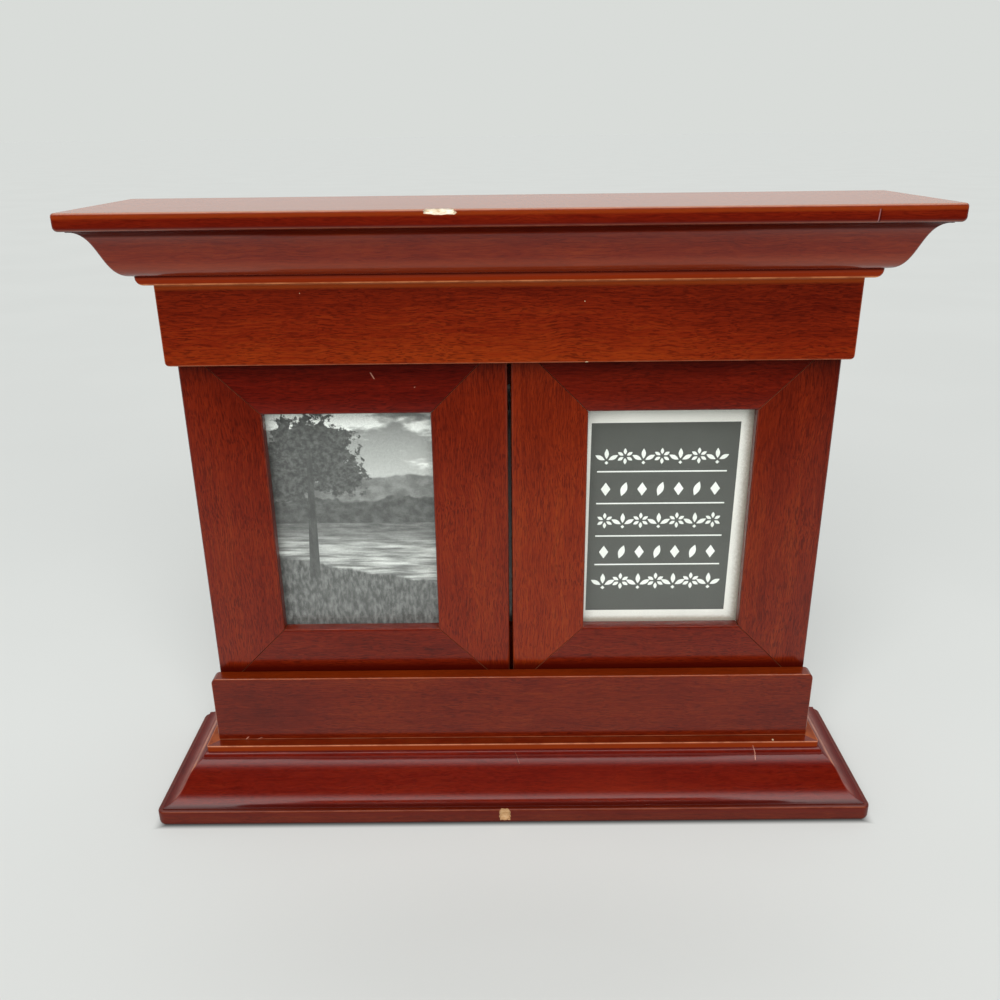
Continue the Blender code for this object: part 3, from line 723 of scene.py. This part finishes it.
def slab(name, node, corner, top_round, under_round, finish):
    """A thin board in a node's place, with rounded corners and its own radius above and below."""
    low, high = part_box(node)
    bm = box_bmesh(low, high)
    rounded(bm, edges_of(bm, lambda middle, way: abs(way.z) > 0.9), corner, 7)
    for z, radius, segments in ((high.z, top_round, 5), (low.z, under_round, 6)):
        rim = edges_of(bm, lambda middle, way: abs(middle.z - z) < 1e-6 and abs(way.z) < 0.1)
        rounded(bm, rim, radius, segments)
    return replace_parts(mesh_object(name, bm, [finish], "case"), node)


def track_board(name, node, grow, free_up, corner, finish):
    """A board in a node's place, grown over its glue gap, whose free long side has rounded corners."""
    low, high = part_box(node)
    free_z = high.z if free_up else low.z
    if free_up:
        low.z -= grow * MM
    else:
        high.z += grow * MM
    bm = box_bmesh(low, high)
    corners = edges_of(bm, lambda middle, way: abs(way.y) > 0.9 and abs(middle.z - free_z) < 1e-6)
    rounded(bm, corners, corner, 6)
    piece = mesh_object(name, bm, [finish], "case")
    soften(piece, 0.6 * MM, 4, 50)
    settle(piece)
    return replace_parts(piece, node)


def chip(piece, centre, radii, turn, seed, finish, square=1.0):
    """Breaks a ragged hollow, lined with a finish, out of a piece. Square over 1 makes it boxier."""
    bm = bmesh.new()
    bmesh.ops.create_icosphere(bm, subdivisions=3, radius=1.0)
    for vertex in bm.verts:
        direction = vertex.co.normalized()
        ragged = 1.0
        for step, amount in enumerate((0.13, 0.08, 0.05)):
            wave = 2.3 * 1.9**step
            sideways = sin(wave * direction.x * 3 + seed)
            inwards = cos(wave * direction.y * 4 + seed * 2)
            upwards = sin(wave * direction.z * 5 + seed * 3 + step)
            ragged += amount * sideways * inwards
            ragged += amount * 0.6 * upwards
        boxy = sum(abs(value) ** (2 * square) for value in direction) ** (-0.5 / square)
        vertex.co = direction * ragged * boxy
    size = Matrix.Diagonal((*in_metres(radii), 1.0))
    stand = Matrix.Translation(Vector(centre) * MM) @ Matrix.Rotation(radians(turn), 4, "X")
    bm.transform(stand @ size)
    carve(piece, bm, finish)


def quarter(centre, start, end, steps):
    """Points on a quarter of an ellipse."""
    points = []
    for step in range(steps + 1):
        turn = radians(90) * step / steps
        points.append(centre + (start - centre) * cos(turn) + (end - centre) * sin(turn))
    return points


def cyma(reach, rise, cove_pull, ovolo_pull, end_slope=0):
    """A cove that runs into an ovolo, as (inset, rise) points in millimetres from the widest edge."""
    end = Vector((reach, rise))
    slope = Vector((cos(radians(end_slope)), sin(radians(end_slope))))
    ends = [Vector((0, 0)), Vector((cove_pull, 0)), end - slope * ovolo_pull, end]
    points = []
    for index in range(CYMA_STEPS + 1):
        t = index / CYMA_STEPS
        weights = [(1 - t) ** 3, 3 * t * (1 - t) ** 2, 3 * t**2 * (1 - t), t**3]
        points.append(sum((end * weight for end, weight in zip(ends, weights)), Vector((0, 0))))
    return points


def bead(foot, reach, rise):
    """A quarter-round bead that starts upright at its foot and ends level."""
    centre = foot + Vector((reach, 0))
    return quarter(centre, foot, centre + Vector((0, rise)), BEAD_STEPS)


def path_round(half, front_y, inset):
    """Where one point of the section runs, from the left return's back round to the right one's."""
    side, front = half - inset, front_y + inset
    left = [Vector((-side, BACK_Y))]
    for step in range(MITRE_STEPS + 1):
        turn = radians(90) * step / MITRE_STEPS
        x = -side + MITRE_ROUND * (1 - cos(turn))
        y = front + MITRE_ROUND * (1 - sin(turn))
        left.append(Vector((x, y)))
    return left + [Vector((-point.x, point.y)) for point in reversed(left)]


def mouldings(name, section, depth, base_z, direction, finishes, nodes):
    """The front moulding and both returns as one piece, glued at softly rounded mitres."""
    low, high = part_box(nodes[0])
    back = [Vector((depth, section[-1].y)), Vector((depth, -GLUE_GAP))]
    bm = bmesh.new()
    rows = []
    for inset, rise in [Vector((0, -GLUE_GAP)), *section, *back]:
        z = base_z + direction * rise * MM
        rows.append([bm.verts.new((*point, z)) for point in path_round(high.x, low.y, inset * MM)])
    across = len(rows[0])
    middle = MITRE_STEPS // 2 + 1
    for near, far in zip(rows, rows[1:] + rows[:1]):
        for place in range(across - 1):
            face = bm.faces.new((near[place], near[place + 1], far[place + 1], far[place]))
            face.material_index = 0 if middle <= place < across - 1 - middle else 1
    for end in (0, across - 1):
        bm.faces.new([row[end] for row in rows]).material_index = 1
    piece = mesh_object(name, bm, finishes, "case")
    soften(piece, 0.15 * MM, 2, 28)
    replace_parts(piece, *nodes)


def moulding_nodes(place):
    """The solids that one moulding stands for."""
    return [f"{place}_moulding_{side}" for side in ("front", "left", "right")]


def base_mouldings():
    """The base's cyma under a quirk, a small bead and a square fillet. Its arrises are worn and carry
    painted highlights, and painted shade darkens its creases and its foot.
    """
    nodes = moulding_nodes("base")
    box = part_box(nodes[0])
    section = cyma(**BASE_CYMA)
    section += bead(section[-1] + Vector((BASE_QUIRK, 0)), *BASE_BEAD)
    fillet_foot = section[-1] + Vector((BASE_FILLET[0], 0))
    section += [fillet_foot, fillet_foot + Vector((0, BASE_FILLET[1]))]
    foot, top = box[0].z / MM, box[1].z / MM
    cyma_top = foot + BASE_CYMA["rise"]
    arris = moulding_line(box, section[-1].x, top, 0.5)
    quirk = moulding_line(box, BASE_CYMA["reach"] + BASE_QUIRK, cyma_top, 0.6)
    crease = moulding_line(box, fillet_foot.x, foot + fillet_foot.y, 0.4)
    ledge = level_band(top - 0.05, top + 0.2, 0.03)
    # The quirk and crease lines are painted shade in the moulding's creases.
    shared = [(quirk, WOOD_DEEP, 0.7), (crease, WOOD_DEEP, 0.8)]
    foot_shade = level_band(foot - 1, foot + 0.25, 0.2)
    fillet = level_band(top - 2.3, top - 0.35, 0.15)
    scratches = [
        (leaning_mark((91.5, 19.6), (90.8, 22.2), 0.22), SCRATCHED, 0.9),
        (leaning_mark((91.2, 18.2), (91.5, 19.8), 0.22), SCRATCHED, 0.9),
        (leaning_mark((2.3, 17.9), (0.7, 20.7), 0.28), DARK_SHADE_AND_SCRATCH, 0.8),
        (leaning_mark((2.7, 17.7), (1.1, 20.7), 0.16), SCRATCHED, 0.25),
    ]
    spots = [((98.5, -14.6, 23.8), (0.35, 0.6, 0.5))]
    look = {"shade": 0.50, "warm": 0.55, "matt": [fillet], "pore": 0.35}
    tints = [(foot_shade, DARK_SHADE_AND_SCRATCH, 0.75), (fillet, WOOD_DEEP, 0.30), (fillet, AMBER, 0.35)]
    touches = [*shared, (ledge, ORANGE_EDGE, 0.10), (arris, WORN_EDGE_AND_HIGHLIGHT, 0.9), *scratches]
    climb = (10.0, 15.0, 0.08, 0.0)
    front = wood(
        "base_wood", 0, seed=1.0, tints=tints, touches=touches, spots=spots, climb=climb, coat=0.8, **look
    )
    # On the returns, the crest line is a painted highlight on the roll and the band over the cyma a
    # painted sheen.
    crest = moulding_line(box, BASE_CYMA["reach"] - 2.8, cyma_top - 1.9, 2.0)
    return_sheen = level_band(foot + 0.8, cyma_top - 0.8, 0.8)
    bright = [*shared, (ledge, ORANGE_EDGE, 0.55), (return_sheen, PAINTED_SHEEN_SIDE, 0.38)]
    bright += [(arris, WORN_EDGE_AND_HIGHLIGHT, 0.75), (crest, WORN_EDGE_AND_HIGHLIGHT, 0.70)]
    tints = [(fillet, WOOD_DEEP, 0.45)]
    side = wood("base_return_wood", 1, seed=2.0, tints=tints, touches=bright, coat=0.35, **look)
    mouldings("base_mouldings", section, BASE_DEPTH, box[0].z, 1, [front, side], nodes)


def cornice_mouldings():
    """The cornice's cyma and bead, hung under the top board, with painted shade under the board and in
    the quirk, and a painted highlight, partly wear, along the bead's foot.
    """
    nodes = moulding_nodes("cornice")
    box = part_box(nodes[0])
    section = cyma(**CORNICE_CYMA)
    riser_foot = section[-1] + Vector((CORNICE_QUIRK, 0))
    section += [riser_foot, *bead(riser_foot + Vector((0, CORNICE_RISER)), *CORNICE_BEAD)]
    top = box[1].z / MM
    bead_foot = top - section[-1].y
    quirk = moulding_line(box, riser_foot.x, top - riser_foot.y, 0.75)
    top_shade = level_band(top - 1.7, top + 1, 0.5)
    round_part = level_band(bead_foot - 0.2, bead_foot + 2.0, 0.3)
    tints = [
        (top_shade, DARK_SHADE_AND_SCRATCH, 0.75),
        (level_band(bead_foot + 3.9, bead_foot + 7.6, 1.2), WARM_BAND, 0.35),
        (level_band(bead_foot - 0.2, bead_foot + 2.6), BEAD_RED, 0.7),
        # Painted shade in the quirk's crease.
        (quirk, WOOD_DEEP, 0.8),
    ]
    # A bright line along the bead's foot: partly wear, partly a painted highlight.
    touches = [(level_band(bead_foot - 0.2, bead_foot + 0.6), BEAD_LIP, 0.8)]
    matt = [top_shade, round_part]
    look = {"shade": 0.76, "tints": tints, "touches": touches, "matt": matt, "coat": 0.9, "pore": 0.3}
    front = wood("cornice_wood", 0, seed=3.0, **look)
    side = wood("cornice_return_wood", 1, seed=4.0, **look)
    mouldings("cornice_mouldings", section, CORNICE_DEPTH, box[1].z, -1, [front, side], nodes)


def base_board():
    """The lip on which everything stands, with its chip."""
    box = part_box("base_board")
    arris = moulding_line(box, 0.25, box[1].z / MM - 0.25, 0.3)
    finish = wood(
        "base_board_wood", 0, shade=0.42, seed=5.0, tints=[(level_band(4.3, 5.7, 0.5), WOOD_DEEP, 0.5)],
        touches=[(arris, WORN_EDGE_AND_HIGHLIGHT, 0.2)], coat=0.5, satin=0.3, pore=0.3,
    )
    board = slab("base_lip", "base_board", 3.0, 0.8, 1.9, finish)
    bare = raw_wood("chipped_lip_wood", LIP_CHIP)
    chip(board, (-2.9, -32.3, 4.2), (2.1, 1.5, 2.6), 0, 1.3, bare, 2.0)
    level_normals(board)


def top_board():
    """The cornice's flat top, with its chip."""
    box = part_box("top_board")
    foot, top = box[0].z / MM, box[1].z / MM
    tints = [
        # The top face is painted paler: a painted sheen.
        (level_band(top - 0.25, top + 1), PAINTED_TOP_SHEEN, 0.75),
        (level_band(top - 1.7, top - 0.5, 0.4), AMBER, 0.35),
        (level_band(foot - 1, foot + 2.0, 0.9), WOOD_DEEP, 0.5),
    ]
    touches = [
        # The upper arris line is partly wear and partly painted highlight; the lower one is a painted
        # reflection of the floor.
        (moulding_line(box, 0.3, top - 0.3, 0.35), WORN_EDGE_AND_HIGHLIGHT, 0.45),
        (moulding_line(box, 0.4, foot + 0.4, 0.4), WORN_EDGE_AND_HIGHLIGHT, 0.25),
        (leaning_mark((106.1, 213.2), (106.3, 216.9), 0.4), DARK_SHADE_AND_SCRATCH, 0.8),
        (leaning_mark((105.7, 213.2), (105.96, 216.9), 0.22), OLD_SCRATCH, 0.9),
    ]
    finish = wood(
        "top_board_wood", 0, shade=0.56, warm=0.7, seed=6.0, tints=tints, touches=touches,
        matt=[level_band(foot + 1.0, top - 0.8, 0.3)], pore=0.35,
    )
    board = slab("mantel_top", "top_board", 1.8, 1.0, 1.4, finish)
    bare = raw_wood("chipped_wood", TOP_CHIP)
    chip(board, (-19.8, -32.2, 218.4), (4.6, 1.9, 1.7), 12, 2.9, bare, 4.0)
    level_normals(board)


def plinth():
    """The plinth board, which hides the panels' bottom rails."""
    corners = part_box("plinth_board")
    top = corners[1].z / MM
    tints = [(level_band(top - 0.3, top + 1, 0.1), AMBER, 0.15)]
    touches = [
        (board_edges(corners, 0.45), WORN_EDGE_AND_HIGHLIGHT, 0.6),
        (leaning_mark((-101.5, 23.9), (-100.3, 25.2), 0.35), SCRATCHED, 0.9),
        (leaning_mark((-97.6, 23.6), (-95.2, 24.9), 0.45), SCRATCHED, 0.5),
    ]
    tone_patches = (((-88, -12, 38), (42, 30, 17), -0.14), ((100, -12, 30), (30, 30, 12), -0.06))
    look = {"shade": 0.52, "pore": 0.45}
    finish = wood("plinth_wood", 0, seed=7.0, tints=tints, touches=touches, tone_patches=tone_patches, **look)
    level_normals(track_board("plinth", "plinth_board", GLUE_GAP, True, 2.1, finish))


def frieze():
    """The frieze board, which hides the panels' top rails, with two small chips at its foot."""
    # The orange band at the top is a painted reflection of the cornice bead above it.
    tints = [(level_band(193.4, 196, 0.7), AMBER, 0.75)]
    touches = [(board_edges(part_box("frieze_board"), 0.6), WORN_EDGE_AND_HIGHLIGHT, 0.55)]
    spots = [((24.1, -12.0, 188.4), (0.12, 0.5, 0.14)), ((-65.9, -12.0, 191.8), (0.12, 0.5, 0.12))]
    # The darker patch towards the right end is painted shade.
    tone_patches = [((100, -12, 182), (65, 30, 30), -0.11), ((0, -12, 170), (65, 30, 14), 0.08)]
    finish = wood(
        "frieze_wood", 0, shade=0.72, seed=8.0, tints=tints, touches=touches, spots=spots, tone_patches=tone_patches,
        # The climb is painted shade: darker towards the top under the cornice, lighter at the foot.
        climb=(170.0, 194.0, 0.10, -0.12), coat=0.18,
    )
    board = track_board("frieze", "frieze_board", GLUE_GAP, False, 1.4, finish)
    bare = raw_wood("chipped_frieze_wood")
    chip(board, (-110.6, -11.9, 168.4), (2.2, 0.7, 0.5), 0, 2.2, bare)
    chip(board, (25.2, -12.1, 168.6), (1.0, 0.5, 0.4), 0, 1.1, bare)
    level_normals(board)


def dress(node_name, finish, bevel=0.12):
    """Gives a CAD node its finish and softly rounded, smoothly shaded edges."""
    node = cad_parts[node_name]
    mesh = node.data
    for slot in node.material_slots:
        slot.material = finish
    if bevel:
        drop_normals(mesh)
        mesh.polygons.foreach_set("use_smooth", [True] * len(mesh.polygons))
        node.modifiers.new("weld", "WELD").merge_threshold = 0.01 * MM
        soften(node, bevel * MM, 2, 32)


def panels():
    """The two sliding picture panels' frames, glass, backs and points."""
    # The climb darkens the panels towards the top: painted shade under the frieze.
    climb = (118.0, 172.0, 0.0, -0.17)
    foot_shade = level_band(40, 53.0, 1.6)
    tints = [(foot_shade, DARK_SHADE_AND_SCRATCH, 0.9)]
    nicks = [
        (leaning_mark((-44.9, 162.4), (-46.1, 164.6), 0.28), SCRATCHED, 0.8),
        (leaning_mark((-31.7, 159.3), (-31.5, 159.6), 0.25), SCRATCHED, 1.0),
    ]
    for side, seed, direction in (("left", 10.0, -1), ("right", 20.0, 1)):
        centre = (direction * PANEL_CENTRE[0], PANEL_CENTRE[1])
        touches = [
            (window_line(centre, WINDOW_HALF, 0.45), WORN_EDGE_AND_HIGHLIGHT, 0.40),
            (window_line(centre, PANEL_HALF, 0.45), WORN_EDGE_AND_HIGHLIGHT, 0.50),
            (mitre_line(centre, WINDOW_HALF, 0.30), WORN_EDGE_AND_HIGHLIGHT, 0.25),
        ]
        for index, (part, tones) in enumerate(PANEL_TONES.items()):
            grain = 0 if part.endswith("rail") else 2
            marks = touches + nicks if (side, part) == ("left", "top_rail") else touches
            name = f"{side}_panel_{part}"
            shade, warm = tones[side]
            finish = wood(
                f"{name}_wood", grain, shade * 0.88, warm, seed + index, tints=tints, touches=marks,
                matt=[foot_shade], climb=climb, coat=0.8,
            )
            dress(name, finish, 0.07)
            dress(f"{name}_point", STEEL, 0.05)
        dress(f"{side}_panel_glass", GLASS, 0)
        dress(f"{side}_panel_backing", HARDBOARD)
    dress("left_print", landscape("left_picture", "left_print", 3.1, 0.225), 0)


def prism(bm, outline, front_y, thickness):
    """A thin flat plate from its outline of (x, z) points in millimetres. Its front's y is in metres."""
    front = [bm.verts.new((x * MM, front_y, z * MM)) for x, z in outline]
    back = [bm.verts.new((x * MM, front_y + thickness, z * MM)) for x, z in outline]
    bm.faces.new(front)
    bm.faces.new(list(reversed(back)))
    count = len(outline)
    for index in range(count):
        following = (index + 1) % count
        bm.faces.new((front[following], front[index], back[index], back[following]))


def leaf_outline(centre, half_long, half_wide, turn, steps=8):
    """A pointed leaf, whose long way is turned from the vertical."""
    turn = radians(turn)
    sides = [(sin(pi * step / steps), step / steps * 2 - 1) for step in range(steps + 1)]
    local = [(half_wide * swell, half_long * place) for swell, place in sides]
    local += [(-x, z) for x, z in reversed(local[1:-1])]
    along, across = cos(turn), sin(turn)
    return [(centre[0] + x * along - z * across, centre[1] + x * across + z * along) for x, z in local]


def diamond_outline(centre, half_x, half_z):
    """The four corners of a diamond, in millimetres."""
    x, z = centre
    return [(x + half_x, z), (x, z + half_z), (x - half_x, z), (x, z - half_z)]


def heading(turn):
    """The direction that is turned by some degrees from the vertical."""
    return Vector((-sin(radians(turn)), cos(radians(turn))))


def ornament(bm, kind, centre, height):
    """One small motif of the card's borders."""
    half = height / 2
    if kind == "diamond":
        prism(bm, diamond_outline(centre, half * 0.62, half * 0.92), ORNAMENT_Y, INK_THICKNESS)
    elif kind == "rosette":
        for turn in range(0, 360, 60):
            middle = Vector(centre) + heading(turn) * half * 0.60
            prism(bm, leaf_outline(middle, half * 0.38, half * 0.19, turn), ORNAMENT_Y, INK_THICKNESS)
    elif kind == "bud":
        for turn in (-62, 0, 62):
            middle = Vector((centre[0], centre[1] - half * 0.55)) + heading(turn) * half * 0.86
            prism(bm, leaf_outline(middle, half * 0.62, half * 0.25, turn), ORNAMENT_Y, INK_THICKNESS)
        base = (centre[0], centre[1] - half * 0.78)
        prism(bm, diamond_outline(base, half * 0.22, half * 0.22), ORNAMENT_Y, INK_THICKNESS)
    elif kind == "leaf":
        prism(bm, leaf_outline(centre, half, half * 0.42, -18), ORNAMENT_Y, INK_THICKNESS)


def aged_and_shaded_card_edge(graph, place):
    """A mottled grey edge along the right and the lower side of the card's window: aged card along the
    foot, and painted shade along the right side.
    """
    x, _, z = graph.split(place)
    from_right = graph.minus((PANEL_CENTRE[0] + WINDOW_HALF[0]) * MM, x)
    from_foot = graph.minus(z, (PANEL_CENTRE[1] - WINDOW_HALF[1]) * MM)
    nearest = graph.math("MINIMUM", from_right, graph.times_plus(from_foot, 1.8, 0.1 * MM))
    ragged = graph.times_plus(graph.noise(place, 900, 4, 0.7), 2.8 * MM, nearest)
    return graph.spread(ragged, 4.6 * MM, 0.8 * MM)


def card():
    """The right panel's card: a dark field on pale board, with rules and rows of small plain motifs."""
    dress("right_card", paper("card_stock", CARD_STOCK, wear_and_light=(aged_and_shaded_card_edge, CARD_AGED_AND_SHADED)), 0)
    bm = bmesh.new()
    prism(bm, CARD_FIELD, FIELD_Y, INK_THICKNESS)
    ink = paper("charcoal_ink", CHARCOAL_INK, 0.5)
    mesh_object("card_field", bm, [ink], "right_panel", smooth=False)
    bm = bmesh.new()
    for z in CARD_RULES:
        outline = [(30.8, z - 0.25), (76.5, z - 0.33), (76.5, z + 0.17), (30.8, z + 0.25)]
        prism(bm, outline, ORNAMENT_Y, INK_THICKNESS)
    for z, height, kinds in CARD_ROWS:
        for index in range(MOTIFS):
            ornament(bm, kinds[index % 2], (FIRST_MOTIF_X + index * MOTIF_PITCH, z), height)
    white = paper("card_ink_white", WHITE_INK)
    mesh_object("card_ornament", bm, [white], "right_panel", smooth=False)


def lathe(name, profile, centre, finish, body, sides=32):
    """A turned piece on an axis from front to back, from (radius, y) points in millimetres."""
    bm = bmesh.new()
    rings = []
    for radius, y in profile:
        turns = [tau * index / sides for index in range(sides if radius > 1e-6 else 1)]
        points = [(centre[0] + radius * cos(t), y, centre[1] + radius * sin(t)) for t in turns]
        rings.append([bm.verts.new(Vector(point) * MM) for point in points])
    for near, far in zip(rings, rings[1:]):
        for index in range(sides):
            following = (index + 1) % sides
            corners = [
                near[index % len(near)],
                near[following % len(near)],
                far[following % len(far)],
                far[index % len(far)],
            ]
            bm.faces.new(list(dict.fromkeys(corners)))
    return mesh_object(name, bm, [finish], body)


def slotted_screw(name, centre, turn, node):
    """A turn button's screw: a pointed shank and a round head with a slot."""
    seat = CENTRE_BACK_Y / MM
    profile = list(SCREW_SHANK)
    head_foot = 1.8
    for degrees in range(0, 90, 12):
        angle = radians(degrees)
        profile.append((SCREW_HEAD[0] * cos(angle), head_foot + SCREW_HEAD[1] * sin(angle)))
    profile.append((0.0, head_foot + SCREW_HEAD[1]))
    seated = [(radius, seat + y) for radius, y in profile]
    screw = lathe(name, seated, centre, STEEL, "case")
    bm = box_bmesh(Vector((-3.4, -0.6, -0.35)) * MM, Vector((3.4, 0.6, 0.35)) * MM)
    slot_place = Vector((centre[0], seat + 3.3, centre[1])) * MM
    bm.transform(Matrix.Translation(slot_place) @ Matrix.Rotation(turn, 4, "Y"))
    carve(screw, bm, STEEL)
    soften(screw, 0.06 * MM, 1, 40)
    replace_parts(screw, node)


def back():
    """The fixed centre picture, its turn buttons, and the case's inner blocks."""
    across = inner_wood("inner_wood_across", 0)
    upright = inner_wood("inner_wood_upright", 2)
    core = inner_wood("core_wood", 0)
    for name in ("centre_left_stile", "centre_right_stile"):
        dress(name, upright)
    for name in ("centre_bottom_rail", "centre_top_rail"):
        dress(name, across)
    for name in ("base_core", "sill_block", "header_block", "cornice_core"):
        dress(name, core, 0.2)
    dress("centre_glass", GLASS, 0)
    dress("centre_print", landscape("centre_picture", "centre_print", 8.6, 0.475), 0)
    dress("centre_backing", HARDBOARD)
    for name in ("stop_pin_left", "stop_pin_right"):
        dress(name, STEEL, 0.1)
    for rise, z in BUTTON_LEVEL.items():
        for side, x in BUTTON_ASIDE.items():
            dress(f"turn_button_{rise}_{side}", STEEL, 0.15)
            turn = radians(35 + x * 0.6 + z * 0.3)
            slotted_screw(f"slotted_screw_{rise}_{side}", (x, z), turn, f"button_screw_{rise}_{side}")


def look_from_camera():
    """The camera that was fitted to the photograph."""
    camera = bpy.data.cameras.new("camera")
    camera.lens = CAMERA_LENS
    camera.sensor_width = 36.0
    camera.clip_start = 0.01
    holder = add_object("camera", camera)
    yaw = Matrix.Rotation(-CAMERA_YAW, 4, "Z")
    pitch = Matrix.Rotation(radians(90) - CAMERA_PITCH, 4, "X")
    roll = Matrix.Rotation(CAMERA_ROLL, 4, "Z")
    holder.matrix_world = Matrix.Translation(CAMERA_PLACE) @ yaw @ pitch @ roll
    bpy.context.scene.camera = holder


def key_light():
    """One wide soft lamp, high in front and a little to the left."""
    lamp = bpy.data.lights.new("softbox", "SUN")
    lamp.energy = LAMP_POWER
    lamp.angle = LAMP_SPREAD
    holder = add_object("softbox", lamp)
    holder.rotation_euler = LAMP_TOWARDS.to_track_quat("-Z", "Y").to_euler()
    holder.visible_glossy = False


def studio_world():
    """Even fill for the surfaces, a pale backdrop for the camera, and a room for reflections."""
    world = bpy.data.worlds.new("studio")
    bpy.context.scene.world = world
    graph = Graph(world)
    direction = graph.node("ShaderNodeTexCoord").outputs["Generated"]
    _, y, z = graph.split(direction)
    overhead = graph.spread(y, -0.78, -0.12)
    ceiling = graph.times(graph.spread(z, 0.50, 0.90, 0.0, CEILING_LEVEL), overhead)
    behind = graph.spread(y, -0.25, 0.20, 0.0, ROOM_LEVEL)
    room = graph.math("MAXIMUM", ceiling, behind)
    path = graph.node("ShaderNodeLightPath").outputs
    glossy = path["Is Glossy Ray"]
    seen = graph.math("MAXIMUM", path["Is Camera Ray"], path["Is Transmission Ray"])
    level = graph.blend(glossy, FILL_LEVEL, room)
    level = graph.blend(seen, level, 1.0)
    colour = graph.mix(seen, (1.0, 1.0, 1.0), BACKDROP)
    graph.finish(graph.node("ShaderNodeBackground", {"Color": colour, "Strength": level}).outputs[0])
    world.cycles.sampling_method = "NONE"


def floor():
    """A wide pale floor with a painted contact shadow along the base and a painted soft shadow in front
    of the case. Painted light brightens it towards the front. In reflections it darkens towards the
    front.
    """
    graph, place = new_material("floor_paint")
    x, y, _ = graph.split(place)
    near = graph.spread(y, -0.475, 0.078, smooth=False)
    glossy = graph.node("ShaderNodeLightPath").outputs["Is Glossy Ray"]
    share = graph.blend(glossy, 1.0, near)
    clouds = graph.spread(graph.noise(place, 5, 2), 0.3, 0.7, 0.99, 1.01)
    # A painted soft shadow on the floor in front of the case.
    front_shadow = graph.spread(far_from(graph, place, (0, -92, 0), (150, 48, 50)), 0.2, 1.0, 0.935, 1.0)
    # A painted contact shadow along the base's front.
    beside = graph.spread(graph.math("ABSOLUTE", y), 31.0 * MM, 33.7 * MM, 0.2, 1.0)
    past_ends = graph.spread(graph.math("ABSOLUTE", x), 127 * MM, 134 * MM)
    contact = graph.math("MAXIMUM", beside, past_ends)
    # The last factor is painted light that brightens the floor towards the front.
    for part in (clouds, front_shadow, contact, graph.spread(y, -0.05, 0.35, 1.095, 1.0)):
        share = graph.times(share, part)
    colour = graph.mix(1.0, FLOOR, share, "MULTIPLY")
    finish = graph.paint(Base_Color=colour, Roughness=0.9, Specular_IOR_Level=0.0)
    bm = bmesh.new()
    bmesh.ops.create_grid(bm, x_segments=8, y_segments=8, size=60.0)
    mesh_object("floor", bm, [finish], None)


bpy.context.scene.view_settings.view_transform = "Standard"

STEEL = plated_steel()
GLASS = glass()
HARDBOARD = hardboard()

look_from_camera()
key_light()
studio_world()
floor()
base_mouldings()
cornice_mouldings()
base_board()
top_board()
plinth()
frieze()
panels()
card()
back()
